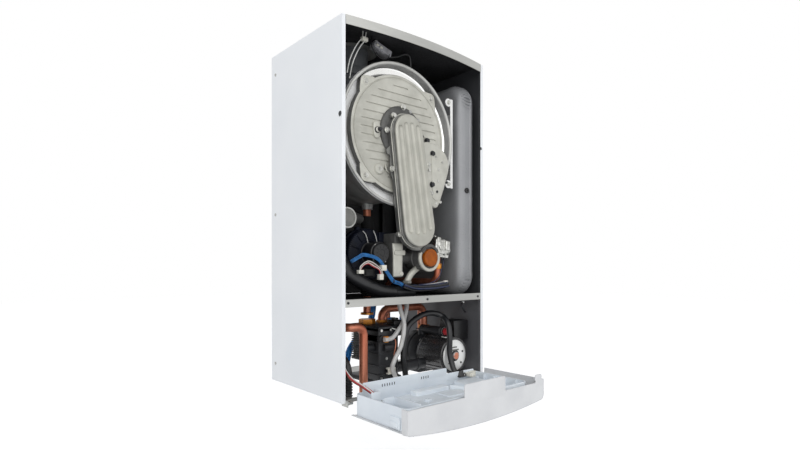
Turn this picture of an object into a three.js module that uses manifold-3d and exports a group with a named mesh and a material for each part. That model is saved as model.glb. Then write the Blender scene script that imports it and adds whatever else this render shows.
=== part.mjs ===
import * as THREE from 'three';
import { mergeVertices } from 'three/addons/utils/BufferGeometryUtils.js';
import Module from 'manifold-3d';

const wasm = await Module();
wasm.setup();

// A wall-hung condensing gas boiler, front cover off, control tray folded down.
// Millimetres, +Z up, front towards -Y. The wall is the plane y = 0.
// Places inside the casing are measured from its bottom edge, its centre line and its front edge.

// Clearances shared by all pieces
const seat = 0.3;
const overrun = 3;

// Casing of folded sheet
const casing = {
  width: 400, height: 745, depth: 295, sheet: 1.2, frontReturn: 8, hem: 8, backReturn: 12, topLip: 18,
  topBow: 18, floorHeight: 190, hangHeight: 700, plugHeight: 552, plugRadius: 3,
};
const front = -casing.depth;
const halfWidth = casing.width / 2;
const innerHalf = halfWidth - casing.sheet;
const betweenHems = halfWidth - casing.frontReturn - seat;
const underFloor = casing.floorHeight;
const onFloor = casing.floorHeight + casing.sheet;

const rail = { bottom: 183, height: 15, returnDepth: 11 };
const backPanel = { slotWidth: 12, slotLength: 34, slotPitch: 220, topReturn: 16 };
const bottomFrame = {
  lip: 6, windowWidth: 330, windowDepth: 150, windowSetback: 24, windowRadius: 12, ear: 14,
};

// Flue at the top left, above the exchanger
const flue = {
  x: -82, y: -150, ductRadius: 38, wall: 3, collarRadius: 44, collarHeight: 16, collarDrop: 44,
  socketRadius: 50, socketWall: 2.5, socketHeight: 42, flangeRadius: 66, flangeThickness: 3,
  portRadius: 7, portHeight: 12,
};

// Round stainless exchanger, axis along Y, held by two brackets from the back panel
const exchanger = {
  x: -38, z: 543, drumRadius: 138, drumBack: 46, boreRadius: 88, boreDepth: 150, coilTurns: 3,
  coilSwell: 5, endRadius: 16, portRadius: 13, portDepth: 40, returnDrop: 150, flowDrop: 95,
};
const coilShares = [[0, 0], [0.2, 0.8], [0.5, 1], [0.8, 0.8]];
const returnPort = exchanger.z - exchanger.returnDrop;
const flowPort = exchanger.z - exchanger.flowDrop;
const ring = {
  setback: 18, outerRadius: 153, bead: 3, wallRadius: 146, holeRadius: 112, depth: 22, sheet: 2,
};
const ringFront = front + ring.setback;
const ringPlate = ringFront + ring.depth;
const bracket = {
  stripWidth: 7, sheet: 2, tabRadius: 9, tabSpacing: 190, tabSpread: 146.5, tabLift: 5, armHeight: 20,
  armSpacing: 130, lead: 25, foot: 14, lugY: -150, lugWidth: 20, lugHeight: 5,
};

// Cast burner door with four ears
const door = {
  radius: 127, rim: 11, rimRise: 3, thickness: 12, gasket: 2.6, gasketWidth: 9, gasketRadius: 114,
  earRoot: 96, earRootRadius: 24, earReach: 131.5, earRadius: 12, earThickness: 10.2, earHole: 3.2,
  lineCount: 13, linePitch: 16.3, lineWidth: 2.4, lineDepth: 1.6, lineMargin: 14, windowX: -63.5,
  windowZ: 0, windowRadius: 13, windowHole: 5.5, bossX: -56, bossZ: -79, bossRadius: 12, bossRise: 5,
};
const doorBack = ringPlate - door.gasket - 2 * seat;
const doorFace = doorBack - door.thickness;
const earAngles = [47, 133, 227, 313];
const burner = { radius: 34, length: 128, wall: 3, flangeRadius: 44, flangeThickness: 3 };

// Ribbed cast duct that carries the gas and air mixture up to the burner
const duct = {
  topX: -36, topZ: 545, topRadius: 39, bottomX: -6, bottomZ: 347, bottomRadius: 45, bodyDepth: 11,
  flange: 2, coverDepth: 13, coverBevel: 3.5, neckX: -34, neckZ: 547, neckRadius: 58, fluteCount: 4,
  fluteWidth: 8.5, fluteDepth: 4, fluteInset: 8, columnX: -31.5, columnWidth: 23, columnTop: 334,
  columnBottom: 238, stepWidth: 13, stepDepth: 5, stepTop: 521, stepBottom: 398, lobeReach: 66,
  lobeRight: 94, lobeTop: 536, lobeBottom: 394, lobeDepth: 14, wall: 3, columnFoot: 8,
};
const lobeShares = [
  [0, 0.1], [0.55, 0], [0.78, 0.25], [0.91, 0.47], [0.99, 0.65], [0.94, 0.81], [0.78, 0.93],
  [0.55, 1], [0, 0.96],
];
const taperShare = 0.86;
const ductBack = Math.min(doorFace - door.rimRise, ringFront) - seat;
const coverBack = ductBack - duct.bodyDepth - seat;

// Fan that feeds the burner, axis along Y
const fan = {
  x: -77, z: 290, radius: 53, spiralRise: 9, wall: 2.5, depth: 44, back: 172, inletRadius: 24,
  outletHeight: 34, outletWidth: 40, outletRise: 10, outletFlange: 4, wheelRadius: 38, wheelWidth: 20,
  wheelGap: 6, hubRadius: 9, shaftRadius: 3, shaftReach: 12, bladeCount: 9, bladeSheet: 2,
  plateSheet: 2, motorRadius: 25, motorLength: 36, capLength: 6, capRadius: 21,
};
const fanBack = -fan.back;
const fanFront = fanBack - fan.depth;
const columnBack = fanFront - fan.outletFlange - seat;

// Gas and air mixer with its cap, and the gas valve beside it
const mixer = {
  x: 38, z: 281, radius: 30, length: 66, lip: 5, lipRadius: 31, mouthRadius: 24, capRadius: 19.5,
  capRise: 5, capEdge: 1.5, neckRadius: 13, nozzleRadius: 9, nozzleRise: 12, legRadius: 8, legDrop: 52,
  legReach: 44, legSetback: 33, setback: 11, neckSetback: 45,
};
const mixerFront = front + mixer.setback;
const neckEnd = duct.columnX + duct.columnWidth / 2 + seat;
const gasValve = {
  width: 44, height: 42, depth: 38, setback: 26, rise: 22, coilRadius: 13, coilLength: 13,
  screwRadius: 5, screwRise: 4,
};
const gasValveLeft = mixer.x + mixer.lipRadius + seat;
const gasValveX = gasValveLeft + gasValve.width / 2;
const gasValveBottom = mixer.z + gasValve.rise - gasValve.height / 2;
const valveY = -250;
const gasPipe = { radius: 7.5, bend: 22, backY: -62, turnHeight: 226, tail: 22 };

// Flat expansion vessel at the right, standing on the chamber floor
const vessel = {
  left: 139, width: 53, top: 697, setback: 16, back: 42, corner: 46, edge: 20, seamSheet: 2.5,
  seamRise: 3,
};
const seamShare = 0.62;
const vesselBottom = onFloor + seat + vessel.seamRise;
const vesselPipe = { radius: 5, x: 165, y: -104, level: 60, bend: 12 };

// Ignition pieces under the top panel and on the door, and the wiring of the chamber.
// Routes are in shares of the casing's half width, depth and height.
const igniter = { x: -66, y: -240, width: 46, height: 15, depth: 22, drop: 14, postRadius: 4 };
const igniterTilt = 16;
const electrode = {
  bodyRadius: 5, flangeRadius: 9, flangeSheet: 2, reach: 14, rodRadius: 1.6, rodLength: 40,
};
const igniterLead = { radius: 2.5 };
const leadShares = [
  [0, -0.81356, 0.96376], [-0.11, -0.81356, 0.97181], [0.01, -0.81356, 0.98792],
  [0.08, -0.80678, 0.98658], [0.115, -0.79322, 0.97181], [0.14, -0.77288, 0.94228],
  [0.17, -0.75254, 0.91141],
];
const chamberWiring = { radius: 4 };
const wiringShares = [
  [-0.785, -0.89017, 0.36376], [-0.685, -0.89017, 0.37718], [-0.625, -0.89017, 0.38255],
  [-0.45, -0.89017, 0.37047], [-0.33, -0.89017, 0.33289], [-0.25, -0.89017, 0.31007],
  [-0.165, -0.89017, 0.30336], [-0.07, -0.89017, 0.29396], [0.1, -0.89017, 0.29262],
  [0.33, -0.89017, 0.2953], [0.535, -0.89017, 0.30201],
];
const airHose = { radius: 14 };
const airHoseShares = [
  [-0.9, -0.82373, 0.40268], [-0.8, -0.82373, 0.34631], [-0.725, -0.82373, 0.32617],
  [-0.565, -0.82373, 0.30336], [-0.36, -0.82373, 0.28322], [-0.16, -0.82373, 0.27651],
  [-0.025, -0.82373, 0.2757], [0.1, -0.82373, 0.2757],
];

// Hydraulic group under the chamber floor
const plates = {
  left: -60, width: 76, front: 177, back: 119, bottom: 48, top: 117, count: 6, groove: 3, endPlate: 6,
  sheet: 4, corner: 8,
};
const block = {
  slab: 13, bodyWidth: 50, bodyLeft: -63, front: 229, bodyBack: 181, towerRadius: 19, towerX: -20,
  towerY: -212, bottom: 12, baseRight: 20, footBack: 105, linkRadius: 12, linkZ: 32, nippleX: -56,
  nippleZ: 104, nippleRadius: 5, nippleLength: 8, portZ: 84, portY: -208, portRadius: 8,
  portLength: 22, armRadius: 8, towerDrop: 4, dimpleRadius: 3,
};
const slabTop = plates.top + seat + block.slab;
const linkBite = 12;
const nut = {
  across: 34, height: 20, collarRadius: 15, collarHeight: 5, pipeRadius: 9, x: -37, y: -150,
};
const flowPipe = {
  radius: 9, bend: 18, x: -150, y: -110, frontY: -240, level: 136, downX: -111, tail: 20,
};
const archPipe = { bend: 22, level: 161, landX: 4, radius: 9 };
const coldPipe = { radius: 8, topX: 34, y: -80, endX: -56, tail: 22, bend: 18 };
const coldShares = [[0.97, 1], [0.97, 0.86], [0.84, 0.69], [0.46, 0.53], [0.2, 0.385], [0.1, 0.22],
  [0, 0.1]];
const diverter = {
  left: -9, width: 27, front: 216, depth: 30, bottom: 104, height: 36, corner: 4, capRadius: 8,
  capRise: 4,
};
const filler = {
  x: 37, y: -151, radius: 12, height: 12, stemRadius: 3, stemLength: 6, groove: 1.5, points: 32,
};
const fillerSeat = 127;
const pump = {
  x: 130, z: 52, bodyRadius: 47, bodyFront: 180, bodyBack: 122, riserRadius: 13, riserX: 8,
  riserTop: 101, motorRadius: 44, motorFront: 268, ribDepth: 2, faceRadius: 37, faceRise: 3,
  ventRadius: 9, ventRise: 4, ventStem: 4, ventSlot: 2.2, wheelRadius: 26, wheelWidth: 12,
  chamberRadius: 26.3, chamberDepth: 18, rotorRadius: 12, rotorLength: 52, ventDepth: 10, footHalf: 30,
  footTop: 12, footBack: 100,
};
const pumpRibCount = 20;
const terminalBox = {
  left: 143, width: 47, top: 131, bottom: 84, front: 255, depth: 52, lid: 3, inset: 2,
};
const relief = {
  x: 117, z: 108, radius: 10, front: 250, back: 168, knobRadius: 8.5, knobLength: 12, postRadius: 9,
  stem: 3, stemLength: 5, knobEdge: 2, postInset: 2,
};
const trap = {
  x: -160, y: -56, radius: 26, bottom: 44, top: 172, neckRadius: 12, baseRadius: 16, baseHeight: 18,
  taper: 8,
};
const hoses = { radius: 5, cableRadius: 6.5, wireRadius: 3.5 };
const frontHoseShares = [
  [-0.065, -0.80678, 0.2545], [-0.065, -0.80678, 0.24295], [-0.06, -0.81695, 0.22282],
  [-0.04, -0.84407, 0.17718], [-0.09, -0.85085, 0.11946], [-0.18, -0.85085, 0.08054],
  [-0.205, -0.84407, 0.05638], [-0.15, -0.82712, 0.03221], [-0.08, -0.82034, 0.00805],
];
const sideHoseShares = [
  [0.07, -0.78644, 0.2545], [0.07, -0.78644, 0.24295], [0.05, -0.8, 0.2255],
  [0.015, -0.80678, 0.20134], [-0.02, -0.80678, 0.17987], [-0.09, -0.81017, 0.15973],
  [-0.17, -0.82034, 0.14362], [-0.235, -0.82203, 0.1396], [-0.29, -0.82203, 0.1396],
];
const cableShares = [
  [0.025, -0.81356, 0.00268], [0.01, -0.81356, 0.04161], [-0.015, -0.81356, 0.08054],
  [0, -0.81356, 0.12752], [0.065, -0.81356, 0.17315], [0.235, -0.81356, 0.19866],
  [0.395, -0.82034, 0.20537], [0.52, -0.85424, 0.19597], [0.525, -0.92203, 0.17181],
  [0.515, -0.94915, 0.13423], [0.515, -0.94915, 0.08322], [0.52, -0.97288, 0.04832],
  [0.52, -1.00339, 0.02685], [0.52, -1.03051, 0.01933], [0.52, -1.05559, 0.01879],
];
const trayWireShares = [
  [-0.93, -0.90847, 0.11275], [-0.925, -0.94915, 0.08322], [-0.9, -1.01017, 0.0604],
  [-0.84, -1.09153, 0.04295], [-0.79, -1.15932, 0.02416], [-0.79, -1.18644, -0.00268],
  [-0.79, -1.18983, -0.02215],
];

// Control tray that hinges down at the bottom front edge
const tray = {
  hingeLead: 3, hingeZ: 0, halfWidth: 190, reach: 180, hingeSide: 12, wall: 2.5, edgeDrop: 22, bow: 13,
  rise: 22, middleRise: 46, middleLeft: -53, middleRight: 62, notchRise: 17, notchRight: 160,
  tabRise: 34, tabRight: 182, endWallFrom: 118, pinRadius: 4, clearance: 0.3, pinLength: 8,
  earWidth: 3, earRadius: 10, padRadius: 6, padX: 140, padNear: 34, padFar: 150,
};
const hingeY = front - tray.hingeLead;
const controlBox = {
  left: -184, right: 150, near: 14, far: 168, bottom: -19, rise: 21, wall: 2, corner: 14, backRise: 38,
  backLeft: -165, backRight: 60, postRadius: 3, slotWidth: 4, slotHeight: 7, slotPitch: 13,
  stripLeft: -150, stripWidth: 190, stripDepth: 13, stripHeight: 14,
};
const stripSlotCount = 12;
const backSlotCount = 12;
const board = {
  left: -130, right: 110, near: 40, far: 150, sheet: 1.6, level: -12, relay: 22, relayHeight: 9,
  relayPitch: 44,
};
const relayCount = 4;
const boardCover = {
  left: -146, right: 130, near: 32, far: 160, sheet: 2, top: 4, stepRise: 9, stepWidth: 70,
  stepDepth: 46, hole: 4, corner: 6, holeX: 60, holeReach: 120,
};
const dial = {
  radius: 17, skirt: 4, body: 14, height: 13, ridge: 4, shaftRadius: 4, shaftLength: 14,
  clearance: 0.3, padRadius: 20, padDrop: 37, reach: 98, firstX: -118, pitch: 64,
};
const button = {
  radius: 6, stand: 3, clearance: 0.3, reach: 98, x: 10, stemRadius: 2.5, stemLength: 12,
};
const display = { x: 74, width: 62, depth: 34, sheet: 2, bezel: 4, reach: 98, drop: 36.5 };

// Facets of round forms
const facets = { great: 28, large: 20, medium: 16, small: 12, pipe: 10, thin: 8, arc: 6 };
const hoseSteps = { lead: 11, wiring: 18, airHose: 12, front: 16, side: 12, cable: 26, wires: 11 };

// Small helpers
const v3 = (x, y, z) => new THREE.Vector3(x, y, z);
const quarter = Math.PI / 2;

function paint(colour, roughness, metalness) {
  return new THREE.MeshStandardMaterial({ color: colour, roughness, metalness });
}

// A closed geometry as a solid that can be joined and cut
function solid(geometry) {
  const bare = geometry.index ? geometry.toNonIndexed() : geometry.clone();
  bare.deleteAttribute('normal');
  bare.deleteAttribute('uv');
  const merged = mergeVertices(bare);
  const corners = [];
  const all = merged.index.array;
  for (let i = 0; i < all.length; i += 3) {
    const [a, b, c] = [all[i], all[i + 1], all[i + 2]];
    if (a !== b && b !== c && c !== a) corners.push(a, b, c);
  }
  const made = (order) => new wasm.Manifold(new wasm.Mesh({
    numProp: 3,
    vertProperties: new Float32Array(merged.attributes.position.array),
    triVerts: new Uint32Array(order),
  }));
  const first = made(corners);
  if (first.volume() > 0) return first;
  const turned = [];
  for (let i = 0; i < corners.length; i += 3) turned.push(corners[i], corners[i + 2], corners[i + 1]);
  return made(turned);
}

const join = (...parts) => parts.map((p) => (p.isBufferGeometry ? solid(p) : p)).reduce((a, b) =>
  a.add(b));
const cut = (body, ...tools) => tools
  .map((t) => (t.isBufferGeometry ? solid(t) : t))
  .reduce((a, b) => a.subtract(b), body.isBufferGeometry ? solid(body) : body);

function geometryOf(shape) {
  const body = shape.isBufferGeometry ? solid(shape) : shape;
  const mesh = body.getMesh();
  const positions = new Float32Array(mesh.numVert * 3);
  for (let i = 0; i < mesh.numVert; i += 1) {
    for (let k = 0; k < 3; k += 1) positions[i * 3 + k] = mesh.vertProperties[i * mesh.numProp + k];
  }
  const geometry = new THREE.BufferGeometry();
  geometry.setAttribute('position', new THREE.BufferAttribute(positions, 3));
  geometry.setIndex(new THREE.BufferAttribute(new Uint32Array(mesh.triVerts), 1));
  geometry.computeVertexNormals();
  return geometry;
}

// Named piece at a place in its group
function piece(group, name, shape, material, place = [0, 0, 0], turn = [0, 0, 0]) {
  const mesh = new THREE.Mesh(geometryOf(shape), material);
  mesh.name = name;
  mesh.position.set(...place);
  mesh.rotation.set(...turn);
  group.add(mesh);
  return mesh;
}

// Box from its low corner to its high corner
function boxBetween(low, high) {
  const size = high.map((value, i) => value - low[i]);
  const box = new THREE.BoxGeometry(...size);
  return box.translate(low[0] + size[0] / 2, low[1] + size[1] / 2, low[2] + size[2] / 2);
}

// Round bar along an axis, starting at its place
function bar(axis, radius, length, place, sides = facets.medium) {
  const round = new THREE.CylinderGeometry(radius, radius, length, sides).translate(0, length / 2, 0);
  if (axis === 'x') round.rotateZ(-quarter);
  if (axis === 'z') round.rotateX(quarter);
  return round.translate(...place);
}

// Closed profile of [radius, height] turned about an axis
function turned(axis, profile, place, sides = facets.large) {
  const onAxis = profile[0][0] === 0;
  const line = (onAxis ? profile : [...profile, profile[0]]).map(([r, h]) => new THREE.Vector2(r, h));
  const round = new THREE.LatheGeometry(line, sides);
  if (axis === 'x') round.rotateZ(-quarter);
  if (axis === 'z') round.rotateX(quarter);
  return round.translate(...place);
}

function shapeOf(points) {
  return new THREE.Shape(points.map(([x, y]) => new THREE.Vector2(x, y)));
}

// Outline drawn in x and z, pushed towards the front by a depth
function pushFront(shape, depth, y, options = {}) {
  const settings = { depth, bevelEnabled: false, curveSegments: facets.arc, ...options };
  return new THREE.ExtrudeGeometry(shape, settings).rotateX(quarter).translate(0, y, 0);
}

// Outline drawn in x and y, raised by a height
function raise(shape, height, z, options = {}) {
  const settings = { depth: height, bevelEnabled: false, curveSegments: facets.arc, ...options };
  return new THREE.ExtrudeGeometry(shape, settings).translate(0, 0, z);
}

// Outline drawn in y and z, pushed along x
function pushSide(shape, width, x, options = {}) {
  const settings = { depth: width, bevelEnabled: false, curveSegments: facets.arc, ...options };
  const turn = new THREE.Matrix4().makeBasis(v3(0, 1, 0), v3(0, 0, 1), v3(1, 0, 0));
  return new THREE.ExtrudeGeometry(shape, settings).applyMatrix4(turn).translate(x, 0, 0);
}

function roundedRect(left, bottom, right, top, radius) {
  const shape = new THREE.Shape();
  shape.moveTo(left + radius, bottom);
  shape.lineTo(right - radius, bottom);
  shape.absarc(right - radius, bottom + radius, radius, -quarter, 0);
  shape.lineTo(right, top - radius);
  shape.absarc(right - radius, top - radius, radius, 0, quarter);
  shape.lineTo(left + radius, top);
  shape.absarc(left + radius, top - radius, radius, quarter, quarter * 2);
  shape.lineTo(left, bottom + radius);
  shape.absarc(left + radius, bottom + radius, radius, quarter * 2, quarter * 3);
  return shape;
}

// Slot with a round end about each of two points, the ends may differ in radius
function taperedSlot(a, radiusA, b, radiusB, steps = facets.arc) {
  const along = Math.atan2(b[1] - a[1], b[0] - a[0]);
  const length = Math.hypot(b[0] - a[0], b[1] - a[1]);
  const lean = Math.asin((radiusA - radiusB) / length);
  const points = [];
  for (let i = 0; i <= steps; i += 1) {
    const angle = along - quarter + lean + (i / steps) * (2 * quarter - 2 * lean);
    points.push([b[0] + radiusB * Math.cos(angle), b[1] + radiusB * Math.sin(angle)]);
  }
  for (let i = 0; i <= steps; i += 1) {
    const angle = along + quarter - lean + (i / steps) * (2 * quarter + 2 * lean);
    points.push([a[0] + radiusA * Math.cos(angle), a[1] + radiusA * Math.sin(angle)]);
  }
  return shapeOf(points);
}

// Folded sheet: an open line thickened to its right
function folded(line, thickness) {
  const side = (a, b) => new THREE.Vector2(b[1] - a[1], a[0] - b[0]).normalize();
  const inner = line.map((point, i) => {
    const before = i > 0 ? side(line[i - 1], point) : side(point, line[i + 1]);
    const after = i < line.length - 1 ? side(point, line[i + 1]) : before;
    const mitre = before.clone().add(after).divideScalar(1 + before.dot(after));
    return [point[0] + mitre.x * thickness, point[1] + mitre.y * thickness];
  });
  return shapeOf([...line, ...inner.reverse()]);
}

// Pipe run: straight legs with round bends, a ring of points only where the pipe turns
class PipeRun extends THREE.Curve {
  constructor(corners, bend, bendSteps) {
    super();
    this.stations = [];
    const points = corners.map((c) => v3(...c));
    points.forEach((point, i) => {
      if (i === 0 || i === points.length - 1) {
        this.stations.push(point);
        return;
      }
      const back = points[i - 1].clone().sub(point);
      const ahead = points[i + 1].clone().sub(point);
      const trim = Math.min(bend, back.length() * 0.49, ahead.length() * 0.49);
      const from = point.clone().add(back.setLength(trim));
      const to = point.clone().add(ahead.setLength(trim));
      const curve = new THREE.QuadraticBezierCurve3(from, point, to);
      this.stations.push(...curve.getPoints(bendSteps));
    });
  }

  getPoint(t) {
    const place = t * (this.stations.length - 1);
    const i = Math.min(Math.floor(place), this.stations.length - 2);
    return this.stations[i].clone().lerp(this.stations[i + 1], place - i);
  }

  getTangent(t) {
    const last = this.stations.length - 1;
    const i = Math.round(t * last);
    const from = this.stations[Math.max(i - 1, 0)];
    const to = this.stations[Math.min(i + 1, last)];
    return to.clone().sub(from).normalize();
  }

  getUtoTmapping(u) {
    return u;
  }
}

function roundSection(radius, sides) {
  const points = [];
  for (let i = 0; i < sides; i += 1) {
    const angle = (i / sides) * 4 * quarter;
    points.push([radius * Math.cos(angle), radius * Math.sin(angle)]);
  }
  return shapeOf(points);
}

function pipe(corners, radius, bend, sides = facets.thin, bendSteps = 4) {
  const run = new PipeRun(corners, bend, bendSteps);
  const settings = { extrudePath: run, steps: run.stations.length - 1, bevelEnabled: false };
  return new THREE.ExtrudeGeometry(roundSection(radius, sides), settings);
}

// Flexible hose or wiring along a smooth curve through its points
function hose(points, radius, steps, sides = facets.thin) {
  const curve = new THREE.CatmullRomCurve3(points.map((p) => v3(...p)), false, 'centripetal');
  const settings = { extrudePath: curve, steps, bevelEnabled: false };
  return new THREE.ExtrudeGeometry(roundSection(radius, sides), settings);
}

// Route of a hose from its shares of the casing's half width, depth and height
function routed(shares) {
  const sizes = [halfWidth, casing.depth, casing.height];
  return shares.map((place) => place.map((share, i) => share * sizes[i]));
}

// Hexagon prism that stands on its place
function hexagon(across, height, place) {
  const radius = across / Math.sqrt(3);
  return new THREE.CylinderGeometry(radius, radius, height, 6).rotateX(quarter)
    .translate(place[0], place[1], place[2] + height / 2);
}

// Casing: side panels, top, back, chamber floor, front rail and bottom frame
function buildCasing(group) {
  const white = [0xe6e9ee, 0.35, 0.05];
  const sheetSteel = [0xa9a9a5, 0.45, 0.4];

  for (const side of [-1, 1]) {
    const line = [
      [side * (halfWidth - casing.frontReturn), front + casing.hem],
      [side * (halfWidth - casing.frontReturn), front],
      [side * halfWidth, front],
      [side * halfWidth, 0],
      [side * (halfWidth - casing.backReturn), 0],
    ];
    const sheet = raise(folded(line, -side * casing.sheet), casing.height, 0);
    const hole = bar('x', casing.plugRadius, casing.sheet + 2 * overrun,
      [side < 0 ? -halfWidth - overrun : innerHalf - overrun, front + casing.frontReturn,
      casing.plugHeight], facets.thin);
    piece(group, side < 0 ? 'side_panel_left' : 'side_panel_right', cut(sheet, hole), paint(...white));
  }

  const half = innerHalf - seat;
  const arcRadius = (half * half + casing.topBow * casing.topBow) / (2 * casing.topBow);
  const arcCentre = front - casing.topBow + arcRadius;
  const arcHalf = Math.asin(half / arcRadius);
  const cover = new THREE.Shape();
  cover.moveTo(half, -seat - casing.sheet);
  cover.lineTo(-half, -seat - casing.sheet);
  cover.absarc(0, arcCentre, arcRadius, -quarter - arcHalf, -quarter + arcHalf);
  const lip = new THREE.Shape();
  lip.absarc(0, arcCentre, arcRadius, -quarter - arcHalf, -quarter + arcHalf);
  lip.absarc(0, arcCentre, arcRadius - casing.sheet, -quarter + arcHalf, -quarter - arcHalf, true);
  const top = casing.height - casing.sheet;
  const smooth = { curveSegments: facets.small };
  const flueHole = bar('z', flue.ductRadius + seat, casing.sheet + 2 * overrun,
    [flue.x, flue.y, top - overrun], facets.large);
  const hemCorner = casing.height - casing.topLip;
  const corners = [-1, 1].map((side) => boxBetween(
    [side < 0 ? -half - overrun : betweenHems, front - overrun, hemCorner - overrun],
    [side < 0 ? -betweenHems : half + overrun, front + casing.hem + seat, casing.height + overrun]));
  piece(group, 'top_panel', cut(
    join(raise(cover, casing.sheet, top, smooth), raise(lip, casing.topLip, hemCorner, smooth)),
    flueHole, ...corners), paint(0xc6c6c2, 0.4, 0.15));

  const backHalf = halfWidth - casing.backReturn - seat;
  const backLine = [[-backPanel.topReturn, top - seat], [0, top - seat], [0, onFloor + seat]];
  const slots = [-1, 1].map((side) => bar('y', backPanel.slotWidth / 2, 2 * overrun,
    [side * backPanel.slotPitch / 2, -overrun, casing.hangHeight], facets.small));
  const slotBoxes = [-1, 1].map((side) => boxBetween(
    [side * backPanel.slotPitch / 2 - backPanel.slotWidth / 2, -overrun,
    casing.hangHeight - backPanel.slotLength],
    [side * backPanel.slotPitch / 2 + backPanel.slotWidth / 2, overrun, casing.hangHeight]));
  piece(group, 'back_panel', cut(pushSide(folded(backLine, casing.sheet), 2 * backHalf, -backHalf),
    ...slots, ...slotBoxes), paint(0x3a3a3d, 0.6, 0.2));

  const floorLine = [[front + casing.sheet + seat, onFloor], [-casing.sheet - seat, onFloor]];
  const floorNotches = [-1, 1].map((side) => boxBetween(
    [side < 0 ? -halfWidth : betweenHems, front - overrun, underFloor - overrun],
    [side < 0 ? -betweenHems : halfWidth, front + casing.hem + seat, onFloor + overrun]));
  const through = (x, y, radius) => bar('z', radius + seat, casing.sheet + 2 * overrun,
    [x, y, underFloor - overrun]);
  piece(group, 'chamber_floor', cut(
    pushSide(folded(floorLine, casing.sheet), 2 * half, -half), ...floorNotches,
    through(nut.x, nut.y, nut.pipeRadius), through(flowPipe.x, flowPipe.y, flowPipe.radius),
    through(gasValveX, gasPipe.backY, gasPipe.radius),
    through(vesselPipe.x, vesselPipe.y, vesselPipe.radius)),
  paint(...sheetSteel));

  const railTop = rail.bottom + rail.height;
  const railLine = [
    [front + rail.returnDepth, railTop], [front, railTop], [front, rail.bottom],
    [front + rail.returnDepth, rail.bottom],
  ];
  piece(group, 'front_rail', pushSide(folded(railLine, -casing.sheet), 2 * betweenHems, -betweenHems),
    paint(...sheetSteel));

  const frameLine = [[front + casing.sheet, bottomFrame.lip], [front + casing.sheet, 0],
    [-casing.sheet - seat, 0]];
  const windowFront = front + bottomFrame.windowSetback;
  const opening = raise(roundedRect(-bottomFrame.windowWidth / 2, windowFront,
    bottomFrame.windowWidth / 2,
    windowFront + bottomFrame.windowDepth, bottomFrame.windowRadius), 2 * overrun, -overrun,
    { curveSegments: 4 });
  const earInner = tray.halfWidth - tray.earWidth - seat;
  const frameNotches = [-1, 1].map((side) => boxBetween(
    [side < 0 ? -halfWidth : earInner, front - overrun, -overrun],
    [side < 0 ? -earInner : halfWidth, front + tray.earRadius, bottomFrame.lip + overrun]));
  const holes = [[gasValveX, gasPipe.backY, gasPipe.radius],
    [coldPipe.endX, coldPipe.y, coldPipe.radius]].map(([x, y, radius]) => bar('z', radius + seat,
    2 * overrun, [x, y, -overrun]));
  const ears = [-1, 1].map((side) => {
    const inner = tray.halfWidth + tray.clearance;
    const low = side < 0 ? -betweenHems : inner;
    return boxBetween([low, hingeY - tray.pinRadius, -bottomFrame.ear / 2],
      [low + betweenHems - inner, front + bottomFrame.ear, bottomFrame.lip]);
  });
  const pins = [-1, 1].map((side) => {
    const root = tray.halfWidth + tray.clearance + seat;
    const start = side < 0 ? -root : root - tray.pinLength;
    return bar('x', tray.pinRadius, tray.pinLength, [start, hingeY, tray.hingeZ], facets.small);
  });
  piece(group, 'bottom_frame', join(
    cut(pushSide(folded(frameLine, -casing.sheet), 2 * half, -half), opening, ...frameNotches, ...holes),
    ...ears, ...pins), paint(...sheetSteel));
}

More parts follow.
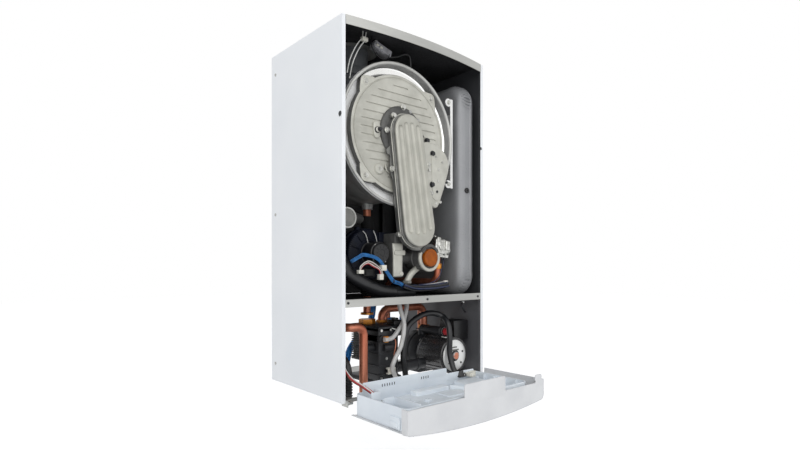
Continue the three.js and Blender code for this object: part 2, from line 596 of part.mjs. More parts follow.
// Exchanger: drum with its coiled bore, dished front ring and the two brackets
function buildExchanger(group) {
  const steel = [0xd9d9d6, 0.3, 0.85];
  const centre = [exchanger.x, 0, exchanger.z];
  const drumFront = ringPlate + ring.sheet + seat;
  const drumBack = -exchanger.drumBack;
  const boreWall = exchanger.boreRadius + exchanger.coilSwell;
  const boreEnd = drumFront + exchanger.boreDepth;
  const pitch = exchanger.boreDepth / exchanger.coilTurns;
  const coil = [];
  for (let i = 0; i < exchanger.coilTurns; i += 1) {
    for (const [along, swell] of coilShares) {
      coil.push([boreWall - swell * exchanger.coilSwell, drumFront + (i + along) * pitch]);
    }
  }
  const rounding = exchanger.endRadius * (1 - Math.SQRT1_2);
  const drum = turned('y', [
    [0, drumBack],
    [exchanger.drumRadius - exchanger.endRadius, drumBack],
    [exchanger.drumRadius - rounding, drumBack - rounding],
    [exchanger.drumRadius, drumBack - exchanger.endRadius],
    [exchanger.drumRadius, drumFront],
    ...coil,
    [boreWall, boreEnd],
    [0, boreEnd],
  ], centre, facets.great);
  const ports = [[nut.x, nut.y, returnPort], [flowPipe.x, flowPipe.y, flowPort]]
    .map((place) => bar('z', exchanger.portRadius, exchanger.portDepth, place));
  piece(group, 'exchanger_drum', join(drum, ...ports), paint(...steel));

  const { bead, sheet, wallRadius, outerRadius, holeRadius } = ring;
  const turnIn = ringFront + bead;
  piece(group, 'exchanger_front_ring', turned('y', [
    [holeRadius, ringPlate], [wallRadius, ringPlate], [wallRadius, turnIn],
    [wallRadius + bead, ringFront],
    [outerRadius - bead, ringFront], [outerRadius, turnIn], [outerRadius, turnIn + bead],
    [outerRadius - sheet, turnIn + bead], [outerRadius - sheet, turnIn],
    [outerRadius - bead, ringFront + sheet],
    [wallRadius + bead, ringFront + sheet], [wallRadius + sheet, turnIn],
    [wallRadius + sheet, ringPlate + sheet],
    [holeRadius, ringPlate + sheet],
  ], centre, facets.great), paint(...steel));

  const near = ring.outerRadius + seat;
  const far = near + bracket.stripWidth;
  const tabFront = front + bracket.lead;
  const armBack = -casing.sheet - seat;
  const lugHeight = bracket.armSpacing / 2 - bracket.armHeight / 2;
  const lugNear = Math.hypot(exchanger.drumRadius, seat)
    * Math.cos(Math.asin(lugHeight / exchanger.drumRadius)) + seat;
  for (const side of [-1, 1]) {
    const slab = (inner, outer, y0, y1, z0, z1) => {
      const ends = [exchanger.x + side * inner, exchanger.x + side * outer];
      const heights = [exchanger.z + z0, exchanger.z + z1];
      return boxBetween([Math.min(...ends), y0, Math.min(...heights)],
        [Math.max(...ends), y1, Math.max(...heights)]);
    };
    const stripHigh = bracket.tabSpacing / 2 + bracket.tabRadius;
    const strip = slab(near, far, tabFront, tabFront + bracket.sheet,
      bracket.tabLift - stripHigh, bracket.tabLift + stripHigh);
    const parts = [-1, 1].flatMap((up) => {
      const low = up * (bracket.armSpacing / 2 - bracket.armHeight / 2);
      const high = up * (bracket.armSpacing / 2 + bracket.armHeight / 2);
      return [
        bar('y', bracket.tabRadius, bracket.sheet,
          [exchanger.x + side * bracket.tabSpread, tabFront,
          exchanger.z + bracket.tabLift + up * bracket.tabSpacing / 2]),
        slab(far - bracket.sheet, far, tabFront, armBack, low, high),
        slab(far - bracket.foot, far, armBack - bracket.sheet, armBack, low, high),
        slab(lugNear, far, bracket.lugY - bracket.lugWidth / 2, bracket.lugY + bracket.lugWidth / 2,
          low, low + up * bracket.lugHeight),
      ];
    });
    piece(group, side < 0 ? 'exchanger_bracket_left' : 'exchanger_bracket_right', join(strip, ...parts),
      paint(...steel));
  }
}

// Cast burner door with its gasket, and the burner behind it
function buildDoor(group) {
  const cast = [0xbdbcb5, 0.5, 0.7];
  const at = (x, z) => [exchanger.x + x, exchanger.z + z];
  const centre = [exchanger.x, 0, exchanger.z];
  const rimFront = doorFace - door.rimRise;
  const rimInner = door.radius - door.rim;
  const soft = door.rimRise / 2;
  const disc = turned('y', [
    [0, doorBack], [door.radius, doorBack], [door.radius, rimFront + soft],
    [door.radius - soft, rimFront],
    [rimInner + soft, rimFront], [rimInner, doorFace], [0, doorFace],
  ], centre, facets.great);
  const lineRadius = rimInner - door.lineMargin;
  const lines = [];
  for (let i = 0; i < door.lineCount; i += 1) {
    const z = (i - (door.lineCount - 1) / 2) * door.linePitch;
    const half = Math.sqrt(lineRadius * lineRadius - z * z);
    const [x0, z0] = at(-half, z - door.lineWidth / 2);
    const [x1, z1] = at(half, z + door.lineWidth / 2);
    lines.push(boxBetween([x0, doorFace - overrun, z0], [x1, doorFace + door.lineDepth, z1]));
  }
  const radians = (degrees) => THREE.MathUtils.degToRad(degrees);
  const onRay = (angle, radius) => at(radius * Math.cos(radians(angle)),
    radius * Math.sin(radians(angle)));
  const ears = earAngles.map((angle) =>
    pushFront(taperedSlot(onRay(angle, door.earRoot), door.earRootRadius,
    onRay(angle, door.earReach), door.earRadius), door.earThickness, doorBack));
  const earHoles = earAngles.map((angle) => {
    const [x, z] = onRay(angle, door.earReach);
    return bar('y', door.earHole, door.thickness + 2 * overrun, [x, doorFace - overrun, z], facets.thin);
  });
  const boss = (x, z, radius) => {
    const [bx, bz] = at(x, z);
    return bar('y', radius, door.bossRise + door.lineDepth, [bx, doorFace - door.bossRise, bz]);
  };
  const [wx, wz] = at(door.windowX, door.windowZ);
  const windowHole = bar('y', door.windowHole, door.thickness + door.bossRise + 2 * overrun,
    [wx, doorFace - door.bossRise - overrun, wz], facets.small);
  const burnerHole = bar('y', burner.radius - burner.wall, door.thickness + 2 * overrun,
    [duct.neckX, doorFace - overrun, duct.neckZ]);
  piece(group, 'burner_door', cut(
    join(cut(disc, ...lines), ...ears, boss(door.windowX, door.windowZ, door.windowRadius),
    boss(door.bossX, door.bossZ, door.bossRadius)),
    windowHole, burnerHole, ...earHoles), paint(...cast));

  const sealFront = doorBack + seat;
  piece(group, 'door_gasket', turned('y', [
    [door.gasketRadius, sealFront], [door.gasketRadius + door.gasketWidth, sealFront],
    [door.gasketRadius + door.gasketWidth, sealFront + door.gasket],
    [door.gasketRadius, sealFront + door.gasket],
  ], centre), paint(0x3a3a38, 0.9, 0));

  const tubeInner = burner.radius - burner.wall;
  piece(group, 'burner_tube', turned('y', [
    [tubeInner, sealFront], [burner.flangeRadius, sealFront],
    [burner.flangeRadius, sealFront + burner.flangeThickness],
    [burner.radius, sealFront + burner.flangeThickness], [burner.radius, sealFront + burner.length],
    [0, sealFront + burner.length], [0, sealFront + burner.length - burner.wall],
    [tubeInner, sealFront + burner.length - burner.wall],
  ], [duct.neckX, 0, duct.neckZ]), paint(0xb8b4ab, 0.4, 0.8));
}

// Duct: cast body with its neck, step, lobe and column, and the ribbed cover
function buildDuct(group) {
  const cast = [0xb9b8b0, 0.5, 0.65];
  const topPoint = [duct.topX, duct.topZ];
  const bottomPoint = [duct.bottomX, duct.bottomZ];
  const outline = (extra) => taperedSlot(bottomPoint, duct.bottomRadius + extra, topPoint,
    duct.topRadius + extra);
  const body = pushFront(outline(duct.flange), duct.bodyDepth, ductBack);
  const neck = cut(bar('y', duct.neckRadius, doorFace - seat - ductBack + overrun,
    [duct.neckX, ductBack - overrun, duct.neckZ], facets.large),
    bar('y', door.windowRadius + 2 * seat, casing.depth,
      [exchanger.x + door.windowX, ductBack + seat, exchanger.z + door.windowZ]));
  const step = solid(pushFront(outline(duct.flange + duct.stepWidth), duct.stepDepth, ductBack))
    .intersect(solid(boxBetween([duct.topX - duct.lobeReach, ductBack - casing.depth, duct.stepBottom],
      [duct.topX, ductBack + overrun, duct.stepTop])));
  const lobeLeft = duct.bottomX + overrun;
  const lobePoints = lobeShares.map(([across, up]) => [
    lobeLeft + across * (duct.lobeRight - lobeLeft),
    duct.lobeBottom + up * (duct.lobeTop - duct.lobeBottom)]);
  const lobe = cut(pushFront(shapeOf(lobePoints), duct.lobeDepth, ductBack),
    pushFront(outline(seat), casing.depth, coverBack + seat));
  const columnLeft = duct.columnX - duct.columnWidth / 2;
  const columnRight = duct.columnX + duct.columnWidth / 2;
  const column = boxBetween([columnLeft, ductBack - duct.columnFoot, duct.columnBottom],
    [columnRight, columnBack, duct.columnTop]);
  const wall = duct.wall;
  const channel = pushFront(taperedSlot(bottomPoint, duct.bottomRadius - wall, topPoint,
    duct.topRadius - wall),
    duct.bodyDepth, ductBack - wall);
  const bore = bar('y', burner.radius - burner.wall, doorFace - ductBack + 2 * overrun + duct.bodyDepth,
    [duct.neckX, ductBack - duct.bodyDepth - overrun, duct.neckZ]);
  const columnBore = boxBetween([columnLeft + wall, ductBack - wall - overrun,
    duct.bottomZ - duct.bottomRadius + 2 * wall],
    [columnRight - wall, columnBack + overrun, duct.columnTop - wall]);
  piece(group, 'burner_manifold', cut(join(body, neck, step, lobe, column), channel, bore, columnBore),
    paint(...cast));

  const inset = duct.coverBevel;
  const flat = duct.coverDepth - inset;
  const lid = pushFront(taperedSlot(bottomPoint, duct.bottomRadius - inset, topPoint,
    duct.topRadius - inset), flat - inset,
    coverBack - inset, { bevelEnabled: true, bevelThickness: inset, bevelSize: inset, bevelSegments: 2 });
  const coverFront = coverBack - flat - inset;
  const along = Math.atan2(duct.bottomX - duct.topX, duct.topZ - duct.bottomZ);
  const spread = duct.bottomRadius * 2 - duct.fluteInset * 2;
  const flutes = [];
  for (let i = 0; i < duct.fluteCount; i += 1) {
    const share = i / (duct.fluteCount - 1) - 0.5;
    const low = [duct.bottomX + share * spread * Math.cos(along),
      duct.bottomZ + share * spread * Math.sin(along)];
    const top = [duct.topX + share * spread * taperShare, duct.topZ + share * spread * Math.sin(along)];
    flutes.push(pushFront(taperedSlot(low, duct.fluteWidth / 2, top, duct.fluteWidth / 2 - seat,
      facets.arc / 2),
      duct.fluteDepth + overrun, coverFront + duct.fluteDepth));
  }
  const recess = pushFront(taperedSlot(bottomPoint, duct.bottomRadius - inset - wall, topPoint,
    duct.topRadius - inset - wall),
    flat - duct.fluteDepth - wall, coverBack + overrun);
  piece(group, 'manifold_cover', cut(lid, ...flutes, recess), paint(0xc4c3bb, 0.45, 0.7));
}

// Fan: scroll housing with its outlet, wheel and motor
function buildFan(group) {
  const centre = [fan.x, 0, fan.z];
  const scroll = (shrink) => {
    const points = [];
    for (let i = 0; i <= facets.large; i += 1) {
      const share = i / facets.large;
      const angle = quarter / 2 - share * 4 * quarter;
      const radius = fan.radius + fan.spiralRise * (1 - share) - shrink;
      points.push([fan.x + radius * Math.cos(angle), fan.z + radius * Math.sin(angle)]);
    }
    return shapeOf(points);
  };
  const outletLeft = duct.columnX - fan.outletWidth / 2;
  const outletRight = duct.columnX + fan.outletWidth / 2;
  const outletBottom = fan.z + fan.outletRise;
  const outletTop = outletBottom + fan.outletHeight;
  const outlet = boxBetween([outletLeft, fanFront - fan.outletFlange, outletBottom],
    [outletRight, fanBack, outletTop]);
  const wall = fan.wall;
  const cavity = pushFront(scroll(wall), fan.depth - 2 * wall, fanBack - wall);
  const mouth = boxBetween([outletLeft + wall + seat, fanFront - fan.outletFlange - overrun,
    outletBottom + wall],
    [outletRight - wall, fanBack - wall, outletTop - wall]);
  const inlet = bar('y', fan.inletRadius, 2 * overrun + wall, [fan.x, fanBack - wall - overrun, fan.z]);
  const shaftHole = bar('y', fan.shaftRadius + seat, 2 * overrun + wall,
    [fan.x, fanFront - overrun, fan.z], facets.small);
  piece(group, 'fan_housing', cut(join(pushFront(scroll(0), fan.depth, fanBack), outlet), cavity, mouth,
    inlet, shaftHole),
    paint(0x2b2b2d, 0.55, 0.1));

  const discFront = fanFront + wall + fan.wheelGap;
  const bladeEnd = discFront + fan.wheelWidth;
  const wheel = [turned('y', [
    [0, discFront - fan.wheelGap - wall - fan.shaftReach],
    [fan.shaftRadius, discFront - fan.wheelGap - wall - fan.shaftReach],
    [fan.shaftRadius, discFront], [fan.wheelRadius, discFront],
    [fan.wheelRadius, discFront + fan.plateSheet],
    [fan.hubRadius, discFront + fan.plateSheet], [fan.hubRadius, discFront + fan.wheelWidth / 2],
    [0, discFront + fan.wheelWidth / 2],
  ], centre)];
  for (let i = 0; i < fan.bladeCount; i += 1) {
    const blade = boxBetween([fan.hubRadius - fan.bladeSheet, discFront + fan.plateSheet / 2,
      -fan.bladeSheet / 2],
      [fan.wheelRadius - fan.bladeSheet, bladeEnd, fan.bladeSheet / 2]);
    wheel.push(blade.rotateY((i / fan.bladeCount) * 4 * quarter).translate(...centre));
  }
  piece(group, 'fan_impeller', join(...wheel), paint(0x9a9a98, 0.5, 0.3));

  const motorBack = fanFront - seat;
  const motorFront = motorBack - fan.motorLength;
  piece(group, 'fan_motor', turned('y', [
    [0, motorFront - fan.capLength], [fan.capRadius, motorFront - fan.capLength],
    [fan.capRadius, motorFront],
    [fan.motorRadius, motorFront], [fan.motorRadius, motorBack], [fan.shaftRadius + seat, motorBack],
    [fan.shaftRadius + seat, motorBack - fan.shaftReach], [0, motorBack - fan.shaftReach],
  ], centre), paint(0x4a4a4d, 0.5, 0.3));
}

// Mixer with its cap, gas valve and gas pipe
function buildGas(group) {
  const centre = [mixer.x, mixerFront, mixer.z];
  const body = join(
    turned('y', [
      [0, mixer.lip], [mixer.mouthRadius, mixer.lip], [mixer.mouthRadius, 0], [mixer.lipRadius, 0],
      [mixer.lipRadius, mixer.lip],
      [mixer.radius, mixer.lip], [mixer.radius, mixer.length], [0, mixer.length],
    ], centre, facets.large),
    bar('x', mixer.neckRadius, mixer.x - neckEnd, [neckEnd, mixerFront + mixer.neckSetback, mixer.z]),
    bar('x', mixer.nozzleRadius, mixer.lipRadius, [mixer.x, valveY, mixer.z + mixer.nozzleRise],
    facets.small),
  );
  const legStart = [mixer.x, mixerFront + mixer.legSetback, mixer.z];
  const legEnd = [mixer.x - mixer.legReach, mixerFront + mixer.legSetback, mixer.z - mixer.legDrop];
  piece(group, 'mixer_body', join(body, pipe([legStart, legEnd], mixer.legRadius, 0, facets.small)),
    paint(0x55565a, 0.5, 0.5));
  piece(group, 'mixer_cap', turned('y', [
    [0, -mixer.capRise], [mixer.capRadius - mixer.capEdge, -mixer.capRise],
    [mixer.capRadius, -mixer.capRise + mixer.capEdge],
    [mixer.capRadius, mixer.lip - seat], [0, mixer.lip - seat],
  ], centre), paint(0xb8651b, 0.45, 0));

  const valveFront = front + gasValve.setback;
  const valveZ = mixer.z + gasValve.rise;
  const box = boxBetween([gasValveLeft, valveFront, gasValveBottom],
    [gasValveLeft + gasValve.width, valveFront + gasValve.depth, gasValveBottom + gasValve.height]);
  piece(group, 'gas_valve', join(box,
    bar('x', gasValve.coilRadius, gasValve.coilLength + overrun,
    [gasValveLeft + gasValve.width - overrun, valveY, valveZ]),
    bar('y', gasValve.screwRadius, gasValve.screwRise + overrun,
    [gasValveX - gasValve.coilRadius, valveFront - gasValve.screwRise, valveZ], facets.small),
  ), paint(0x8d8e90, 0.45, 0.6));
  piece(group, 'gas_pipe', pipe([
    [gasValveX, valveY, gasValveBottom - seat], [gasValveX, valveY, gasPipe.turnHeight],
    [gasValveX, gasPipe.backY, gasPipe.turnHeight], [gasValveX, gasPipe.backY, -gasPipe.tail],
  ], gasPipe.radius, gasPipe.bend, facets.pipe), paint(0xc4806b, 0.3, 0.9));
}

// Expansion vessel and its pipe
function buildVessel(group) {
  const { edge, corner, seamRise } = vessel;
  const y0 = front + vessel.setback;
  const y1 = -vessel.back;
  const shell = pushSide(roundedRect(y0 + edge, vesselBottom + edge, y1 - edge, vessel.top - edge,
    corner - edge),
    vessel.width - 2 * edge, vessel.left + edge,
    { bevelEnabled: true, bevelThickness: edge, bevelSize: edge, bevelSegments: 3, curveSegments: 4 });
  const seam = pushSide(roundedRect(y0 - seamRise, vesselBottom - seamRise, y1 + seamRise,
    vessel.top + seamRise, corner + seamRise),
    vessel.seamSheet, vessel.left + seamShare * vessel.width, { curveSegments: 4 });
  piece(group, 'expansion_vessel', join(shell, seam), paint(0x8f9092, 0.45, 0.3));
  const pumpBack = -pump.bodyBack + seat;
  piece(group, 'vessel_pipe', pipe([
    [vesselPipe.x, vesselPipe.y, vesselBottom - seat], [vesselPipe.x, vesselPipe.y, vesselPipe.level],
    [vesselPipe.x, pumpBack, vesselPipe.level],
  ], vesselPipe.radius, vesselPipe.bend), paint(0xc4806b, 0.3, 0.9));
}

// Flue duct through the top panel and the socket on it
function buildFlue(group) {
  const plastic = [0xe8e8e4, 0.4, 0];
  const topOut = casing.height + flue.flangeThickness + seat;
  const collarTop = casing.height - flue.collarDrop;
  const tube = join(
    bar('z', flue.ductRadius, topOut - exchanger.z, [flue.x, flue.y, exchanger.z], facets.large),
    bar('z', flue.collarRadius, flue.collarHeight, [flue.x, flue.y, collarTop - flue.collarHeight],
    facets.large));
  piece(group, 'flue_duct', cut(tube,
    bar('z', flue.ductRadius - flue.wall, casing.height, [flue.x, flue.y, exchanger.z - overrun],
    facets.large),
    bar('y', exchanger.drumRadius + seat, casing.depth, [exchanger.x, front, exchanger.z], facets.great)),
    paint(...plastic));

  const base = casing.height + seat;
  const bore = flue.ductRadius + seat;
  const inner = flue.socketRadius - flue.socketWall;
  const rise = flue.flangeThickness + flue.socketHeight;
  const socket = turned('z', [
    [bore, 0], [flue.flangeRadius, 0], [flue.flangeRadius, flue.flangeThickness],
    [flue.socketRadius, flue.flangeThickness],
    [flue.socketRadius, rise], [inner, rise], [inner, flue.flangeThickness], [bore, flue.flangeThickness],
  ], [flue.x, flue.y, base], facets.large);
  const portReach = (flue.socketRadius + flue.flangeRadius) / 2;
  const testPorts = [-1, 1].map((side) => bar('z', flue.portRadius, flue.portHeight,
    [flue.x + side * portReach, flue.y, base + flue.flangeThickness / 2], facets.small));
  piece(group, 'flue_socket', join(socket, ...testPorts), paint(...plastic));
}

// Ignition unit, electrode, and the leads and hoses of the chamber
function buildIgnition(group) {
  const under = casing.height - casing.sheet - seat;
  const unitZ = under - igniter.drop - igniter.height / 2;
  const tilt = THREE.MathUtils.degToRad(igniterTilt);
  const unit = new THREE.BoxGeometry(igniter.width, igniter.depth, igniter.height).rotateY(tilt)
    .translate(igniter.x, igniter.y, unitZ);
  const post = bar('z', igniter.postRadius, under - unitZ, [igniter.x, igniter.y, unitZ], facets.small);
  piece(group, 'ignition_unit', join(unit, post), paint(0xb9bbbd, 0.5, 0.2));

  const seatY = doorFace - door.bossRise - seat;
  piece(group, 'ignition_electrode', turned('y', [
    [0, seatY - electrode.reach], [electrode.bodyRadius, seatY - electrode.reach],
    [electrode.bodyRadius, seatY - electrode.flangeSheet],
    [electrode.flangeRadius, seatY - electrode.flangeSheet], [electrode.flangeRadius, seatY],
    [electrode.bodyRadius, seatY],
    [electrode.bodyRadius, doorBack], [electrode.rodRadius, doorBack],
    [electrode.rodRadius, doorBack + electrode.rodLength],
    [0, doorBack + electrode.rodLength],
  ], [exchanger.x + door.windowX, 0, exchanger.z + door.windowZ], facets.small), paint(0xf0ede4, 0.3, 0));

  const wireStart = igniter.x + igniter.width / 2 * Math.cos(tilt) + igniterLead.radius + seat;
  const leadRoute = routed(leadShares);
  leadRoute[0][0] = wireStart;
  piece(group, 'ignition_lead', hose(leadRoute, igniterLead.radius, hoseSteps.lead, facets.thin),
    paint(0xd0d0cc, 0.6, 0));
  piece(group, 'chamber_wiring', hose(routed(wiringShares), chamberWiring.radius, hoseSteps.wiring),
    paint(0x1b1b1d, 0.6, 0));
  piece(group, 'black_hose', hose(routed(airHoseShares), airHose.radius, hoseSteps.airHose, facets.pipe),
    paint(0x161618, 0.6, 0));
}

// Plate exchanger, hydraulic block and the pipes under the chamber floor
function buildHydraulics(group) {
  const copper = [0xc4806b, 0.3, 0.9];
  const brass = [0xd9962e, 0.3, 0.9];
  const right = plates.left + plates.width;
  const core = boxBetween([plates.left + plates.groove, -plates.front + plates.groove, plates.bottom],
    [right - plates.groove, -plates.back - plates.groove, plates.top]);
  const gap = (plates.top - plates.bottom - 2 * plates.endPlate - plates.count
    * plates.sheet) / (plates.count + 1);
  const leaf = (thickness, z) =>
    raise(roundedRect(plates.left, -plates.front, right, -plates.back, plates.corner),
    thickness, z, { curveSegments: 2 });
  const leaves = [leaf(plates.endPlate, plates.bottom),
    leaf(plates.endPlate, plates.top - plates.endPlate)];
  for (let i = 0; i < plates.count; i += 1) {
    leaves.push(leaf(plates.sheet, plates.bottom + plates.endPlate + gap + i * (gap + plates.sheet)));
  }
  piece(group, 'plate_exchanger', join(core, ...leaves), paint(0xcfcfcc, 0.3, 0.85));

  const slabBottom = plates.top + seat;
  const bodyTop = slabBottom + block.slab / 2;
  const bodyRight = block.bodyLeft + block.bodyWidth;
  const baseTop = plates.bottom - seat;
  const foot = casing.sheet + seat;
  const rightArm = pump.x - pump.bodyRadius;
  const middleY = -(pump.bodyFront + pump.bodyBack) / 2;
  const blockBody = join(
    boxBetween([plates.left + plates.groove, -block.bodyBack - overrun, slabBottom],
    [right - overrun, -plates.back, slabTop]),
    boxBetween([block.bodyLeft, -block.front, block.bottom], [bodyRight, -block.bodyBack, bodyTop]),
    boxBetween([block.bodyLeft, -block.front, block.bottom], [block.baseRight, -block.footBack, baseTop]),
    boxBetween([block.bodyLeft, -plates.back, foot], [block.baseRight, -block.footBack, baseTop]),
    bar('z', block.towerRadius, diverter.bottom - seat - block.bottom + block.towerDrop,
      [block.towerX, block.towerY, block.bottom - block.towerDrop], facets.large),
    boxBetween([bodyRight - overrun, -diverter.front + seat, baseTop - overrun],
      [diverter.left + diverter.width, -diverter.front + diverter.depth, diverter.bottom - seat]),
    bar('y', block.nippleRadius, block.nippleLength + overrun,
    [block.nippleX, -block.front - block.nippleLength, block.nippleZ], facets.small),
    bar('x', block.portRadius, block.portLength + overrun,
    [block.bodyLeft - block.portLength, block.portY, block.portZ], facets.small),
    bar('x', block.linkRadius, rightArm - block.baseRight + overrun + linkBite,
    [block.baseRight - overrun, middleY, block.linkZ]),
    bar('z', block.armRadius, fillerSeat - block.linkZ, [filler.x, middleY, block.linkZ], facets.small),
  );
  const dimples = [0.25, 0.5, 0.75].map((share) =>
    bar('y', block.dimpleRadius, block.dimpleRadius + overrun,
    [block.bodyLeft + share * block.bodyWidth / 2, -block.front - overrun, block.linkZ], facets.small));
  piece(group, 'hydraulic_block', cut(blockBody,
    bar('z', filler.stemRadius + seat, filler.stemLength + overrun,
    [filler.x, filler.y, fillerSeat - filler.stemLength - seat], facets.small),
    pumpBodyForm(seat), ...dimples), paint(0x3b3c3f, 0.5, 0.1));

  const { x, y } = nut;
  const nutBottom = slabTop + seat;
  piece(group, 'return_pipe_nut', cut(
    join(hexagon(nut.across, nut.height, [x, y, nutBottom]),
    bar('z', nut.collarRadius, nut.collarHeight + overrun, [x, y, nutBottom + nut.height - overrun])),
    bar('z', nut.pipeRadius + seat, nut.height + nut.collarHeight + 2 * overrun,
    [x, y, nutBottom - overrun], facets.medium)),
  paint(...brass));
  piece(group, 'return_pipe', bar('z', nut.pipeRadius, returnPort - seat - nutBottom, [x, y, nutBottom]),
    paint(...copper));
  piece(group, 'flow_pipe', pipe([
    [flowPipe.x, flowPipe.y, flowPort - seat], [flowPipe.x, flowPipe.y, flowPipe.level],
    [flowPipe.x, flowPipe.frontY, flowPipe.level],
    [flowPipe.downX, flowPipe.frontY, flowPipe.level], [flowPipe.downX, flowPipe.frontY, -flowPipe.tail],
  ], flowPipe.radius, flowPipe.bend, facets.pipe), paint(...copper));
  const riserX = pump.x + pump.riserX;
  piece(group, 'arch_pipe', pipe([
    [riserX, middleY, pump.riserTop + seat], [riserX, middleY, archPipe.level],
    [archPipe.landX, middleY, archPipe.level], [archPipe.landX, middleY, slabTop + seat],
  ], archPipe.radius, archPipe.bend, facets.pipe), paint(...copper));
  piece(group, 'cold_water_pipe', pipe([
    ...coldShares.map(([across, up]) => [
      coldPipe.endX + across * (coldPipe.topX - coldPipe.endX), coldPipe.y, up * (underFloor - seat)]),
    [coldPipe.endX, coldPipe.y, -coldPipe.tail],
  ], coldPipe.radius, coldPipe.bend, facets.pipe, 2), paint(0x1478e0, 0.4, 0.1));

  const lobed = new THREE.Shape();
  for (let i = 0; i < filler.points; i += 1) {
    const angle = (i / filler.points) * 4 * quarter;
    const radius = i % 4 < 2 ? filler.radius : filler.radius - filler.groove;
    const point = [filler.x + radius * Math.cos(angle), filler.y + radius * Math.sin(angle)];
    if (i === 0) lobed.moveTo(...point);
    else lobed.lineTo(...point);
  }
  piece(group, 'filling_knob', join(raise(lobed, filler.height, fillerSeat + seat),
    bar('z', filler.stemRadius, filler.stemLength + overrun,
    [filler.x, filler.y, fillerSeat - filler.stemLength], facets.small)),
  paint(0x1478e0, 0.4, 0.05));

  const diverterTop = diverter.bottom + diverter.height;
  piece(group, 'diverter_motor', join(
    raise(roundedRect(diverter.left, -diverter.front, diverter.left + diverter.width,
    -diverter.front + diverter.depth, diverter.corner),
      diverter.height, diverter.bottom, { curveSegments: 3 }),
    bar('z', diverter.capRadius, diverter.capRise + overrun,
      [diverter.left + diverter.width / 2, -diverter.front + diverter.depth / 2, diverterTop - overrun])),
      paint(0x1c1c1e, 0.5, 0.05));

  const trapNeckTop = underFloor - seat;
  piece(group, 'condensate_trap', turned('z', [
    [0, trap.bottom], [trap.baseRadius, trap.bottom], [trap.baseRadius, trap.bottom + trap.baseHeight],
    [trap.radius, trap.bottom + trap.baseHeight + trap.taper], [trap.radius, trap.top - trap.taper],
    [trap.neckRadius, trap.top], [trap.neckRadius, trapNeckTop], [0, trapNeckTop],
  ], [trap.x, trap.y, 0]), paint(0x2a2a2c, 0.5, 0));
}

// Pump body as one form, grown by a clearance where another piece is cut to it
function pumpBodyForm(extra) {
  return bar('y', pump.bodyRadius + extra, pump.bodyFront - pump.bodyBack + 2 * extra,
    [pump.x, -pump.bodyFront - extra, pump.z], facets.large);
}

